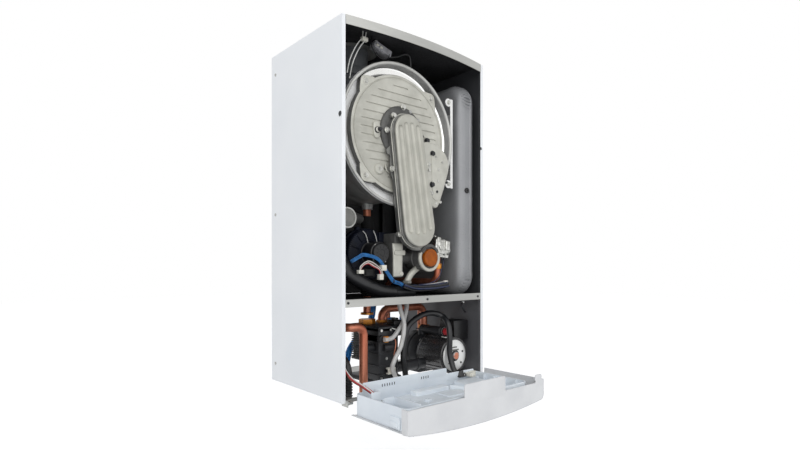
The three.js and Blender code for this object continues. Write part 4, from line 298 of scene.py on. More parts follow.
# %% Dress the solids
dress = {
    powder: ["side_panel_left", "side_panel_right"],
    liner_and_shade: ["back_panel", "chamber_floor"],
    lip_grey: ["top_panel", "front_rail", "bottom_frame"],
    stainless: ["exchanger_front_ring"],
    dull_steel: ["exchanger_drum"],
    strip_steel: ["exchanger_bracket_left", "exchanger_bracket_right", "plate_exchanger", "burner_tube"],
    cast: ["burner_door", "burner_manifold"],
    cast_pale: ["manifold_cover", "gas_valve", "pump_motor"],
    felt: ["door_gasket"],
    nylon: ["fan_housing", "pump_terminal_box"],
    impeller_grey: ["fan_impeller", "pump_rotor"],
    dark_iron: ["fan_motor", "mixer_body", "hydraulic_block", "pump_body"],
    orange_cap: ["mixer_cap"],
    copper: ["gas_pipe", "return_pipe", "flow_pipe", "arch_pipe", "vessel_pipe"],
    brass: ["return_pipe_nut", "vent_screw"],
    azure: ["cold_water_pipe"],
    vessel_paint: ["expansion_vessel"],
    flue_plastic: ["flue_duct"],
    white_flue: ["flue_socket"],
    black_abs: ["condensate_trap", "diverter_motor", "filling_knob"],
    unit_grey: ["ignition_unit"],
    porcelain: ["ignition_electrode"],
    rubber: ["ignition_lead", "chamber_wiring", "black_hose", "pump_cable", "tray_wiring"],
    red_abs: ["relief_knob"],
    grey_pvc: ["grey_hose_front", "grey_hose_side"],
    abs_white: ["control_fascia", "temperature_knob_left", "temperature_knob_right", "mode_button"],
    abs_inner: ["control_box", "board_cover"],
    laminate: ["circuit_board"],
    glass_dark: ["display_window"],
}
for finish, names in dress.items():
    for name in names:
        held = nodes[name].data.materials
        held.clear()
        held.append(finish)
print("dressed", sum(len(names) for names in dress.values()), "of", len(nodes))

# %% [markdown]
# Modelling helpers. Each works on one piece that is alone in the selection, as a hand would: a primitive
# is added, faces or edges are picked by place, and an edit operator shapes them. A turned part is a line
# of points spun round an axis, a plate is a drawn outline given depth, and a pipe is a line given
# thickness. Corners that a hand would break are bevelled, since a real edge always catches some light.

# %% Selection helpers
def alone(piece=None):
    if bpy.context.mode != "OBJECT":
        bpy.ops.object.mode_set(mode="OBJECT")
    bpy.ops.object.select_all(action="DESELECT")
    if piece:
        piece.select_set(True)
        bpy.context.view_layer.objects.active = piece


def edit(piece):
    alone(piece)
    bpy.ops.object.mode_set(mode="EDIT")
    bpy.ops.mesh.select_all(action="DESELECT")


def pick(piece, kind, test):
    """Selects the VERT, EDGE or FACE parts whose middle passes the test."""
    bpy.ops.mesh.select_mode(type=kind)
    mesh = bmesh.from_edit_mesh(piece.data)
    parts = {"VERT": mesh.verts, "EDGE": mesh.edges, "FACE": mesh.faces}[kind]
    chosen = 0
    for part in parts:
        if kind == "VERT":
            hit = test(part.co)
        elif kind == "EDGE":
            hit = all(test(v.co) for v in part.verts)
        else:
            hit = test(part.calc_center_median())
        if hit:
            part.select = True
            chosen += 1
    mesh.select_flush_mode()
    bmesh.update_edit_mesh(piece.data)
    return chosen


turns = {
    "x": Matrix.Rotation(math.radians(90), 4, "Y"),
    "-x": Matrix.Rotation(math.radians(-90), 4, "Y"),
    "y": Matrix.Rotation(math.radians(-90), 4, "X"),
    "-y": Matrix.Rotation(math.radians(90), 4, "X"),
    "z": Matrix.Identity(4),
    "-z": Matrix.Rotation(math.radians(180), 4, "X"),
}


def put(piece, place, turn):
    """Turns a piece drawn about the origin, moves it to its place, and applies both to its mesh."""
    alone(piece)
    piece.matrix_world = Matrix.Translation(spot(*place)) @ turn
    bpy.ops.object.transform_apply(location=True, rotation=True, scale=True)
    return piece


def one(pieces):
    """Joins pieces into the first, each keeping its own finish."""
    alone(pieces[0])
    for piece in pieces:
        piece.select_set(True)
    bpy.ops.object.join()
    return bpy.context.object


def wear(piece, finish):
    piece.data.materials.clear()
    piece.data.materials.append(finish)
    return piece


def coat(piece, finish, test):
    """A second finish for the faces whose middle, in the casing's millimetres, passes the test."""
    piece.data.materials.append(finish)
    for face in piece.data.polygons:
        x, y, z = face.center
        if test(x * 1000, y * 1000, z * 1000 + origin_height):
            face.material_index = len(piece.data.materials) - 1
    return piece


def done(pieces, name, finish=None, stands_for=(), body="casing", smooth=32):
    """Joins what is listed, names it, and rides it on its body in place of the solids it stands for."""
    piece = one(pieces) if isinstance(pieces, list) else pieces
    alone(piece)
    piece.name = name
    bpy.ops.object.transform_apply(location=True, rotation=True, scale=True)
    bpy.ops.object.shade_smooth_by_angle(angle=math.radians(smooth))
    if finish:
        wear(piece, finish)
    if body:
        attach(piece, body)
    if stands_for:
        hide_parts(*stands_for)
    return piece


def spin(piece, angle, axis, centre):
    """Turns a mesh about a place in the casing."""
    edit(piece)
    bpy.ops.mesh.select_all(action="SELECT")
    bpy.ops.transform.rotate(value=angle, orient_axis=axis, center_override=spot(*centre))
    bpy.ops.object.mode_set(mode="OBJECT")
    return piece


# %% Drawing helpers
def drawn(points):
    """A line of edges through points, left in edit mode with its last point selected."""
    alone()
    bpy.ops.mesh.primitive_plane_add(size=0.001)
    piece = bpy.context.object
    bpy.ops.object.mode_set(mode="EDIT")
    bpy.ops.mesh.select_mode(type="VERT")
    bpy.ops.mesh.select_all(action="SELECT")
    bpy.ops.mesh.merge(type="CENTER")
    bpy.ops.transform.translate(value=points[0])
    for here, there in zip(points, points[1:]):
        bpy.ops.mesh.extrude_region_move(TRANSFORM_OT_translate={"value": there - here})
    return piece


def turned(profile, place, axis="y", steps=72):
    """(radius, distance) points in mm, spun round an axis through a place in the casing."""
    piece = drawn([Vector((r, 0, along)) / 1000 for r, along in profile])
    bpy.ops.mesh.select_all(action="SELECT")
    bpy.ops.mesh.spin(steps=steps, angle=math.tau, center=(0, 0, 0), axis=(0, 0, 1))
    bpy.ops.mesh.select_all(action="SELECT")
    bpy.ops.mesh.remove_doubles(threshold=0.000004)
    bpy.ops.mesh.normals_make_consistent(inside=False)
    return put(piece, place, turns[axis])


# An outline's own plane, and the way that its depth grows: front is -y, up is +z, right is +x
planes = {
    "front": lambda a, b, depth: Vector((a, -depth, b)) / 1000,
    "up": lambda a, b, depth: Vector((a, b, depth)) / 1000,
    "right": lambda a, b, depth: Vector((depth, a, b)) / 1000,
}


def plate(outline, facing, start, depth, edge=0, both=False, segments=3):
    """An outline in mm given depth from its start, its outer edge rounded, or both edges."""
    across = planes[facing]
    drop = Vector((0, 0, -origin_height / 1000))
    piece = drawn([across(a, b, start) + drop for a, b in outline])
    bpy.ops.mesh.select_all(action="SELECT")
    bpy.ops.mesh.edge_face_add()
    bpy.ops.mesh.extrude_region_move(TRANSFORM_OT_translate={"value": across(0, 0, depth)})
    bpy.ops.mesh.select_all(action="SELECT")
    bpy.ops.mesh.normals_make_consistent(inside=False)
    if edge:
        bpy.ops.mesh.select_all(action="DESELECT")
        way = across(0, 0, 1000)
        ends = [(across(0, 0, reach) + drop).dot(way) for reach in (start + depth, start)]
        ends = ends if both else ends[:1]
        pick(piece, "EDGE", lambda p: any(abs(p.dot(way) - end) < 1e-6 for end in ends))
        bpy.ops.mesh.bevel(offset=edge / 1000, segments=segments, affect="EDGES")
    bpy.ops.object.mode_set(mode="OBJECT")
    return piece


def block(low, high, edge=1, segments=2):
    """A box between two corners with all its edges rounded."""
    low, high = spot(*low), spot(*high)
    alone()
    bpy.ops.mesh.primitive_cube_add(size=1, location=(low + high) / 2, scale=high - low)
    piece = bpy.context.object
    bpy.ops.object.transform_apply(location=True, rotation=True, scale=True)
    bpy.ops.object.mode_set(mode="EDIT")
    bpy.ops.mesh.select_all(action="SELECT")
    bpy.ops.mesh.bevel(offset=edge / 1000, segments=segments, affect="EDGES")
    bpy.ops.object.mode_set(mode="OBJECT")
    return piece


def rounded(left, low, right, high, radius, steps=6):
    points = []
    for cx, cz, first in ((right - radius, low + radius, -90), (right - radius, high - radius, 0),
                          (left + radius, high - radius, 90), (left + radius, low + radius, 180)):
        for i in range(steps + 1):
            angle = math.radians(first + 90 * i / steps)
            points.append((cx + radius * math.cos(angle), cz + radius * math.sin(angle)))
    return points


def waved(x, z, radius, depth, lobes, steps):
    """A round outline whose radius swells and shrinks by the depth, once for each lobe."""
    points = []
    for i in range(steps):
        angle = math.tau * i / steps
        reach = radius + depth * math.cos(angle * lobes)
        points.append((x + reach * math.cos(angle), z + reach * math.sin(angle)))
    return points


def around(axis, reach, y, angles):
    """Places on a circle round an axis along y."""
    return [(axis[0] + reach * math.cos(a), y, axis[2] + reach * math.sin(a)) for a in angles]


def slot_round(a, ra, b, rb, steps=18):
    """Outline of a slot whose two ends have their own radius."""
    along = math.atan2(b[1] - a[1], b[0] - a[0])
    lean = math.asin((ra - rb) / math.hypot(b[0] - a[0], b[1] - a[1]))
    points = []
    for (cx, cz), radius, first, last in ((a, ra, along + math.pi / 2 - lean, along + math.pi * 1.5 + lean),
                                          (b, rb, along - math.pi / 2 + lean, along + math.pi / 2 - lean)):
        for i in range(steps + 1):
            angle = first + (last - first) * i / steps
            points.append((cx + radius * math.cos(angle), cz + radius * math.sin(angle)))
    return points


def carve(piece, cutters):
    """Cuts closed tools out of a closed piece, then drops the tools."""
    tool = one(cutters)
    alone(piece)
    change = piece.modifiers.new("cut", "BOOLEAN")
    change.object, change.operation, change.solver = tool, "DIFFERENCE", "EXACT"
    change.use_self = len(cutters) > 1
    bpy.ops.object.modifier_apply(modifier=change.name)
    bpy.data.objects.remove(tool, do_unlink=True)
    return piece


# %% Pipe and hose helpers
def bent(corners, bend, steps=10):
    """A pipe's middle line: straight runs, with an arc of that radius at every corner."""
    points = [Vector(corners[0])]
    for before, corner, after in zip(corners, corners[1:], corners[2:]):
        corner = Vector(corner)
        back, on = (Vector(before) - corner).normalized(), (Vector(after) - corner).normalized()
        half = back.angle(on) / 2
        reach = bend / math.tan(half)
        centre = corner + (back + on).normalized() * (bend / math.sin(half))
        first, last = corner + back * reach - centre, corner + on * reach - centre
        spread = first.angle(last)
        for i in range(steps + 1):
            share = i / steps
            points.append(centre + (first * math.sin((1 - share) * spread)
                + last * math.sin(share * spread)) / math.sin(spread))
    return points + [Vector(corners[-1])]


def flowing(points, steps=8):
    """A smooth line through points, as a hose lies."""
    knots = [Vector(p) for p in points]
    knots = [knots[0] * 2 - knots[1]] + knots + [knots[-1] * 2 - knots[-2]]
    line = []
    for a, b, c, d in zip(knots, knots[1:], knots[2:], knots[3:]):
        for i in range(steps):
            t = i / steps
            line.append(((b * 2) + (c - a) * t + (a * 2 - b * 5 + c * 4 - d) * t * t
                + (b * 3 - a - c * 3 + d) * t ** 3) / 2)
    return line + [knots[-2]]


def tube(line, radius, sides=6):
    """A round tube along a line given in the casing's millimetres."""
    curve = bpy.data.curves.new("line", "CURVE")
    curve.dimensions, curve.use_fill_caps = "3D", True
    curve.bevel_depth, curve.bevel_resolution = radius / 1000, sides
    spline = curve.splines.new("POLY")
    spline.points.add(len(line) - 1)
    for point, place in zip(spline.points, line):
        point.co = (*spot(*place), 1)
    piece = bpy.data.objects.new("line", curve)
    bpy.context.scene.collection.objects.link(piece)
    alone(piece)
    bpy.ops.object.convert(target="MESH")
    return bpy.context.object


def cord(points, radius, finish=None, steps=8, sides=3):
    """A thin round cord that flows through points."""
    piece = tube(flowing(points, steps), radius, sides)
    return wear(piece, finish) if finish else piece


def beside(line, reach, turn, twist=0.0):
    """A line that runs beside another at a reach, winding round it by the twist along its length."""
    made = []
    side = Vector((0.3, 0.9, 0.2)).normalized()
    for i, here in enumerate(line):
        ahead = (line[min(i + 1, len(line) - 1)] - line[max(i - 1, 0)]).normalized()
        side = (side - ahead * side.dot(ahead)).normalized()
        up = ahead.cross(side)
        angle = turn + twist * i / len(line)
        made.append(here + (side * math.cos(angle) + up * math.sin(angle)) * reach)
    return made


# %% [markdown]
# Screws. The boiler shows two sorts: pan-head screws in sheet, and hexagon bolts with a washer in the
# castings. Each is modelled once at the origin with its head up, and copies are turned to their face.
# The head starts as a cylinder, its rim is bevelled and its middle is inset and pushed in as the drive.

# %% Fasteners
def pan_head():
    alone()
    bpy.ops.mesh.primitive_cylinder_add(vertices=24, radius=0.001, depth=0.0008, location=(0, 0, 0.0004))
    piece = bpy.context.object
    edit(piece)
    pick(piece, "FACE", lambda p: p.z > 0.00079)
    bpy.ops.mesh.inset(thickness=0.00055, depth=0)
    bpy.ops.mesh.extrude_region_move(TRANSFORM_OT_translate={"value": (0, 0, -0.0004)})
    bpy.ops.mesh.select_all(action="DESELECT")
    pick(piece, "EDGE", lambda p: p.z > 0.00079 and p.xy.length > 0.00099)
    bpy.ops.mesh.bevel(offset=0.00035, segments=3, affect="EDGES")
    bpy.ops.object.mode_set(mode="OBJECT")
    return piece


def hex_bolt():
    alone()
    bpy.ops.mesh.primitive_cylinder_add(vertices=32, radius=0.0013, depth=0.0002, location=(0, 0, 0.0001))
    washer = bpy.context.object
    alone()
    bpy.ops.mesh.primitive_cylinder_add(vertices=6, radius=0.001, depth=0.0008, location=(0, 0, 0.0006))
    head = bpy.context.object
    edit(head)
    pick(head, "FACE", lambda p: p.z > 0.00099)
    bpy.ops.mesh.inset(thickness=0.0002, depth=0)
    bpy.ops.mesh.extrude_region_move(TRANSFORM_OT_translate={"value": (0, 0, 0.0001)})
    bpy.ops.object.mode_set(mode="OBJECT")
    return one([washer, head])


models = {"pan": pan_head(), "hex": hex_bolt()}


def screws(name, kind, radius, places, finish=zinc, facing="-y", body="casing"):
    """Copies of a head, of that radius in mm, at places in the casing's millimetres."""
    copies = []
    for place in places:
        alone(models[kind])
        bpy.ops.object.duplicate(linked=False)
        copies.append(put(bpy.context.object, place, turns[facing] @ Matrix.Scale(radius, 4)))
    return done(copies, name, finish, body=body)


print("helpers ready")

# %% [markdown]
# The exchanger. Its front ring is a dish pressed from stainless sheet: a flat plate round the door, a wall
# that comes forward, and a lip rolled outwards. A pressed round form is a profile spun once round, and its
# small radii are drawn as points, since they carry the bright and dark bands. The wall is painted darker as
# shade, and the left and lower part of the plate is painted white as light. The drum behind it is a rolled
# can with pressed swages and a seam, hung from brackets at both sides.

# %% Exchanger ring, drum and brackets
ring = turned([(112, -255.0), (128.6, -255.0), (130.4, -256.2), (139, -256.2), (142.4, -257), (144.4, -259),
    (145.2, -262), (145.6, -270), (146.2, -273.4), (147.4, -275.8), (149.4, -276.9), (151.2, -276.4),
    (152.6, -275), (153, -272.6), (153, -268.6), (152, -268.6), (152, -272.2), (151.4, -274.2),
    (150.4, -275.4), (149.2, -275.7), (148, -275), (147.2, -273.2), (146.8, -270.6), (146.4, -262),
    (145.4, -258.2), (142.6, -255.6), (139, -255), (131.2, -255), (129.4, -253.2), (112, -253.2)],
    ring_axis, steps=144)
wear(ring, stainless)
# The wall is painted a darker steel as its shade
coat(ring, dull_steel, lambda x, y, z: 143.8 < off(ring_axis, x, z) and y > -272)
# The left and lower part of the plate is painted white as light
coat(ring, painted_light_dish,
    lambda x, y, z: x < ring_axis[0] and y > -271 and z - ring_axis[2] < -1.07 * (x - ring_axis[0]))
coat(ring, rim_steel, lambda x, y, z: y < -272)
ring = done(ring, "pressed_ring", None, ["exchanger_front_ring"], smooth=50)
swage = [(138, 7), (137.2, 4), (136, 2), (135.6, 0), (136, -2), (137.2, -4), (138, -7)]
swages = [(radius, middle + y) for middle in (-70, -120, -170, -220) for radius, y in swage]
drum = turned([(90, -46.2), (122, -46.2), (132, -50), (137, -56), (138, -62)] + swages
    + [(138, -244), (136.8, -246.4), (136.6, -250), (138, -252.4), (112, -252.6), (112, -240), (100, -236),
    (90, -236), (90, -46.2)], ring_axis, steps=120)
seam = block((-39.4, -244, 679.6), (-36.6, -62, 681), 0.5)
drain = turned([(0, 0), (14, 0), (14, -4), (13, -5), (13, -11.8), (0, -11.8)], (return_x, return_y, 404.6),
    "z", steps=32)
boss = turned([(0, 0), (14, 0), (14, -4), (13, -5), (13, -14), (0, -14)], (-150, -110, 462), "z", steps=32)
done([drum, seam, drain, boss], "rolled_drum", dull_steel, smooth=40)
tabs = [(x, -270.5, z) for x in (-184.5, 108.5) for z in (453, 643)]
arms = [plate(rounded(left, 444.5, left + 7.4, 651.5, 2), "front", 267.4, 3.1, 0.7, both=True)
    for left in (-198.6, 115.2)]
washer = [(2.4, -267.6), (8.6, -267.6), (9.4, -268.2), (9.4, -270), (8.8, -270.6), (2.4, -270.6),
    (2.4, -267.6)]
arms += [turned(washer, (x, 0, z), steps=32) for x, y, z in tabs]
done(arms, "bracket_straps", strip_steel)
screws("bracket_screws", "hex", 4, tabs)
told("ring", ring)

# %% [markdown]
# The burner door. It is one casting: a thick disc with a fine line near its rim, thin level grooves across
# its face that let the metal expand, four ears that reach out to the studs, and two bosses. The disc is
# spun, the grooves are cut with round-ended bars, and the ears and bosses are plates with softened edges.

# %% Burner door
disc = turned([(30, -270.2), (116.4, -270.2), (117.8, -270.9), (118.6, -271.5), (119.2, -270.3),
    (120.2, -270.3), (120.8, -271.6), (123.8, -271.8), (125.8, -271), (126.8, -269.4), (127, -268),
    (127, -259.4), (126, -258.2), (30, -258.2), (30, -270.2)], ring_axis, steps=144)
# The grooves lie at one pitch below the highest and end on a circle
grooves = []
pitch, highest, round_reach, round_x, round_z = 16.35, 646, 102, -36, 546
for i in range(13):
    z = highest - pitch * i
    half = math.sqrt(round_reach ** 2 - (z - round_z) ** 2)
    ends = (round_x - half, z), 1.3, (round_x + half, z), 1.2999
    grooves.append(plate(slot_round(*ends, 5), "front", 268.4, 9))
disc = carve(disc, grooves)
# The door's side face is painted dark as its shade
coat(wear(disc, cast), cast_shade, lambda x, y, z: off(ring_axis, x, z) > 126.1)
parts = [disc]
bolts = []
centre = Vector((ring_axis[0], ring_axis[2]))
for angle in (47, 133, 227, 313):
    way = Vector((math.cos(math.radians(angle)), math.sin(math.radians(angle))))
    reach, seat = way * 131.5 + centre, way * 131 + centre
    ear = plate(slot_round(tuple(way * 104 + centre), 33, tuple(reach), 11.8, 16), "front", 258.2, 13.2,
        1.6, segments=4)
    ear = carve(ear, [turned([(0, -250), (120.6, -250), (120.6, -280), (0, -280)], ring_axis, steps=144)])
    # The ears' sides and backs are painted dark as shade
    parts.append(coat(wear(ear, cast), cast_shade, lambda x, y, z: y > -267))
    parts.append(wear(turned([(5, -271), (5.6, -272), (7.6, -272.2), (8.6, -271.4), (8.6, -271)],
        (seat.x, 0, seat.y), steps=32), cast))
    bolts.append((seat.x, -271.3, seat.y))
parts.append(wear(plate(slot_round((-101.5, 552), 9, (-100.5, 534), 8, 14), "front", 266, 9.2, 2), cast))
parts.append(wear(turned([(0, -268), (0, -274), (6, -275.2), (9.6, -274.6), (11.4, -272.4), (12, -268)],
    (-94, 0, 464), steps=40), cast))
hook = cord([(-76, -271, 474), (-78, -273, 470), (-76, -273.6, 464), (-70, -273.6, 460), (-65, -273, 463),
    (-64, -271, 467)], 2.2, steps=6, sides=4)
parts.append(wear(hook, cast_pale))
door = done(parts, "cast_door", None, ["burner_door"])
screws("door_bolts", "hex", 4.4, bolts)
screws("boss_bolts", "hex", 4.4, [(-94, -274.6, 464)])
post = turned([(0, -289.4), (2.6, -289.4), (3.4, -288.6), (3.4, -284), (5, -283), (5, -277.4),
    (6.2, -277.2), (6.6, -276.6), (6.6, -275), (0, -275)], (-101.5, 0, 543), steps=32)
wear(post, dark_iron)
coat(post, porcelain, lambda x, y, z: -283.4 < y < -277.6)
done(post, "electrode_post", None, ["ignition_electrode"])
told("door", door)

# %% [markdown]
# The duct that carries gas and air up to the burner. The body is a long casting with a flange, a collar
# round the burner's neck, a lobe at the right and a column down to the fan. The cover screwed onto it is
# the boiler's most telling piece: a rounded lid with long soft flutes. The flutes are cut by round-ended
# tools whose inner edge is rounded, so their sides slope as a casting's must, and the ridges left between
# them stay pale lines.

# %% Duct body
def smooth_line(points, steps):
    return [(p.x, p.z) for p in flowing([(a, 0, b) for a, b in points], steps)]


top, low = (-36, 545), (-6, 347)
parts = [plate(slot_round(low, 46.6, top, 40.6, 24), "front", 277.3, 11, 1.4)]
neck = turned([(0, -271), (0, -277.2), (48, -277.2), (52, -276.6), (56, -274.6), (57.6, -272),
    (57.6, -270.6)], (-34, 0, 547), steps=96)
# The neck collar is painted dark as shade
wear(neck, cast_shade)
outline = [(-58, 566), (-66, 545), (-69, 533), (-73, 514), (-80, 508), (-82, 501), (-78, 495), (-72, 492),
    (-72, 464), (-66, 446), (-62, 432), (-61, 394), (-56, 382), (-52, 378), (-49, 348), (-44, 328),
    (-33, 311), (-14, 298), (14, 296), (30, 304), (30, 528), (0, 560)]
# The step is painted dark as shade, its upper front face mid grey where more light falls
step = wear(plate(smooth_line(outline[:-1], 3) + [outline[-1]], "front", 277.4, 4.4, 1.4), cast_shade)
coat(step, cast_mid, lambda x, y, z: y < -281 and z > 380)
lobe = [(34, 396), (56, 394), (73, 428), (85, 461), (92, 487), (87, 509), (72, 524), (54, 533), (28, 536)]
parts.append(plate(smooth_line(lobe, 5) + [(0, 530), (10, 400)], "front", 277.3, 12, 3.4, segments=5))
ridge = [(48, 408), (60, 412), (70, 436), (79, 464), (83, 486), (78, 502), (64, 512), (44, 518)]
parts.append(plate(smooth_line(ridge, 4) + [(36, 512), (40, 414)], "front", 289, 1.8, 1.2))
for x, z in ((49, 505), (56, 478), (54, 452), (52, 428), (68, 496)):
    parts.append(turned([(2.6, -289), (2.6, -291.4), (5, -291.4), (6, -290.8), (6.6, -289)], (x, 0, z),
        steps=28))
parts.append(plate([(-48, 239), (-24, 239), (-21, 300), (-21, 312), (-50, 312), (-48, 290)], "front", 236,
    27, 4, segments=5))
parts.append(plate(rounded(-46, 286, -17, 297, 3), "front", 252, 13, 1.6))
parts.append(turned([(0, -260), (5, -260), (5, -264), (4, -265), (0, -265)], (-27, 0, 246), steps=24))
body = wear(one(parts), cast)
# The lower part behind and the sides of the slab are painted dark as shade
coat(body, cast_shade, lambda x, y, z: (z < 313 and y > -258 and x < -14) or (-287.4 < y < -277.5 and x < 20))
# The column is painted dark as the shade behind the duct
column = wear(plate(rounded(-43, 238, -20, 334, 3), "front", 220.3, 40, 2), cast_shade)
duct = done([body, neck, step, column], "cast_duct", None, ["burner_manifold"])
screws("lobe_bolts", "hex", 2.6, [(49, -291.2, 505), (56, -291.2, 478), (54, -291.2, 452),
    (68, -291.2, 496), (64, -289.2, 406), (50, -289.2, 402)])
screws("lobe_pins", "pan", 3, [(52, -291.2, 428), (40, -289.4, 388), (84, -289.2, 452)], dark_iron)
stud_tops = [(-66, -285, 577), (-71, -286, 465), (-49, -285, 330)]
studs = [turned([(0, -277), (5.4, -277), (5.4, y), (0, y)], (x, 0, z), steps=32) for x, y, z in stud_tops]
done(studs, "duct_studs", cast_mid)
screws("step_bolts", "hex", 4.8, stud_tops + [(-81, -281.4, 545), (-34, -277.2, 602)])
screws("step_pins", "hex", 5.2, [(35, -276.6, 541), (40, -289.4, 511), (38.5, -289.4, 442.6)], dark_iron)
screws("lobe_studs", "hex", 3.8, [(30, -289, 486), (30, -289, 474), (38, -289.4, 424)])
screws("collar_bolts", "hex", 3, [(-14, -276.8, 596), (8, -276.6, 582)], dull_steel)
screws("collar_pins", "pan", 3.2, [(16, -276.2, 565), (22, -276, 549)], dark_iron)
told("duct", duct)

# %% Ribbed cover
cover = plate(slot_round((-5, 347), 43, (-35, 545), 37.4, 30), "front", 288.6, 13, 4.4, segments=8)
flutes = []
foot_end, head_end = Vector(low), Vector(top)
along = (head_end - foot_end).normalized()
across = Vector((along.y, -along.x))
for i in range(4):
    share = (i - 1.5) / 1.5
    shorter = 8 * abs(share)
    foot = foot_end + across * (share * 27.5) + along * (shorter - 12)
    head = head_end + across * (share * 23.5) - along * (shorter - 16)
    flute = plate(slot_round(tuple(foot), 8, tuple(head), 6.6, 12), "front", 297.6, 9)
    edit(flute)
    pick(flute, "EDGE", lambda p: p.y > -0.2977)
    bpy.ops.mesh.bevel(offset=0.0062, segments=7, affect="EDGES")
    flutes.append(flute)
cover = carve(cover, flutes)
rim = plate(slot_round(low, 45, top, 39, 30), "front", 288.6, 3.4, 1.4)
lid = wear(one([cover, rim]), cast_pale)
# The lid's sides and rim are painted a mid grey as shade
coat(lid, cast_mid, lambda x, y, z: y > -297.1)
cover = done(lid, "ribbed_cover", None, ["manifold_cover"], smooth=38)
pins = [(-51, 570), (-42, 573), (-30, 575), (-19, 573), (-12, 569)]
screws("cover_pins", "pan", 1.3, [(x, -300.9, z) for x, z in pins], dark_iron)
told("cover", cover)

# %% [markdown]
# The vessel is two pressed halves welded round a seam. Each half is a deep tray with generous corners.
# One rounded outline is given depth and both its edges are rounded with a 20 mm radius, then a thin band
# that stands 3 mm proud makes the weld seam. The wall beside it carries a rubber grommet.

# %% Expansion vessel
shell = plate(rounded(-279, 194.5, -42, 697, 46, 10), "right", 139, 53, 20, both=True, segments=9)
seam = plate(rounded(-281.6, 191.8, -39.4, 699.6, 48, 10), "right", 171, 2.4, 1, both=True)
lip = plate(rounded(-280.2, 193.2, -40.8, 698.2, 47, 10), "right", 169, 6.4, 1.6, both=True)
vessel = done([shell, seam, lip], "welded_vessel", vessel_paint, ["expansion_vessel"], smooth=45)
stem = turned([(0, 0), (7, 0), (7, 3), (5, 4), (5, 12), (4.4, 13), (0, 13)], (165, -104, 178), "z", steps=24)
done(stem, "vessel_stem", brass)
grommet = turned([(1.6, -281.2), (3, -282.6), (5.4, -282.6), (6.6, -281.4), (6.6, -277), (1.6, -277),
    (1.6, -281.2)], (160.5, 0, 442), steps=32)
done(grommet, "wall_grommet", black_abs)
told("vessel", vessel)

# %% [markdown]
# The fan. Its scroll is a snail shell moulded in two halves, so it has a rounded edge, a parting band and
# screw lugs. Its motor sits on the front, a turned can with a stepped cap and cooling slots. Two
# pale cable straps cross the shell.

# %% Fan
scroll = []
for i in range(72):
    share = i / 72
    angle = math.pi / 4 - share * math.tau
    radius = 53 + 9 * (1 - share)
    scroll.append((fan_x + radius * math.cos(angle), fan_z + radius * math.sin(angle)))
shell = plate(scroll, "front", 172, 44, 7, both=True, segments=5)
band = plate([(fan_x + (x - fan_x) * 1.03, fan_z + (z - fan_z) * 1.03) for x, z in scroll], "front", 192, 4,
    1, both=True)
outlet = block((-51.5, -219.8, 300), (-11.5, -172, 334), 3, 3)
flange = block((-54, -219.9, 296), (-11.6, -214, 337), 1.4, 3)
ribs = [spin(block((-48, -218.6, 288.8), (-27, -214, 291.2), 1), math.tau * i / 12 + 0.2, "Y", fan_axis)
    for i in range(12)]
hub = turned([(26.5, -216), (28, -218.6), (31, -218.6), (33, -216)], fan_axis, steps=64)
lug = [(0, -190), (4.6, -190), (4.6, -199), (3.8, -200), (0, -200)]
lugs = [turned(lug, (fan_x + 59 * math.cos(a), 0, fan_z + 57 * math.sin(a)), steps=20)
    for a in (0.5, 1.9, 3.1, 4.3, 5.4)]
fan_case = done([shell, band, outlet, flange, hub] + ribs + lugs, "fan_scroll", nylon, ["fan_housing"])
can = turned([(3.3, -216.3), (25, -216.3), (25, -219), (24, -219.6), (24, -226), (25, -226.6), (25, -249),
    (23.6, -251.6), (21.6, -252.3), (21, -256.4), (19.4, -258.3), (8.6, -258.3), (8, -257.4), (5, -257.4),
    (4.4, -258), (0, -258)], fan_axis, steps=64)
vents = [spin(block((-66, -262, 289), (-59.4, -257.2, 291), 0.8), math.tau * i / 10, "Y", fan_axis)
    for i in range(10)]
done(carve(can, vents), "fan_motor_can", black_abs, ["fan_motor"])
screws("motor_screws", "pan", 2, around(fan_axis, 21.5, -252.2, (0.6, 2.2, 3.8, 5.4)))
strap = cord([(-96, -216.6, 338), (-90, -219, 330), (-86, -219.6, 318), (-83, -219.4, 306),
    (-80, -217.4, 300)], 0.9)
tie = cord([(-68, -216.6, 340), (-64, -219.4, 328), (-60, -219.6, 312), (-58, -218.4, 300)], 0.9)
done([wear(strap, white_wire), wear(tie, white_wire)], "shell_straps", smooth=60)
done([block((-100, -226, 240), (-70, -214, 258), 2, 3), block((-96, -229, 243), (-74, -225, 255), 1)],
    "fan_plug", black_abs)
told("fan", fan_case)

# %% [markdown]
# The air pressure switch. A round capsule sits above the fan against the side wall, painted dark as shade,
# its two shells crimped together by a rim painted pale, partly as its highlight.

# %% Pressure switch
switch_axis = (-164, 0, 360)
capsule = turned([(0, -262), (14, -262), (16.6, -261), (20.4, -258.6), (21.6, -256), (21.6, -250),
    (20, -248), (20, -212), (17, -206), (0, -206)], switch_axis, steps=64)
# The capsule, spout and foot are painted dark as shade, the crimp pale partly as its highlight
wear(capsule, cast_mid)
crimp = wear(turned([(17.6, -260.4), (18.4, -261.8), (20.4, -261.4), (21.4, -259.8), (21.2, -258.4)],
    switch_axis, steps=64), rim_steel)
spout = cord([(-160, -226, 363), (-146, -218, 370), (-124, -206, 371), (-98, -194, 368), (-84, -188, 366)],
    10.5, cast_shade, 6, 7)
foot = wear(block((-187.8, -246, 352), (-180, -218, 368), 1.4), cast_shade)
done([capsule, crimp, spout, foot], "pressure_switch")
print("pressure switch drawn")
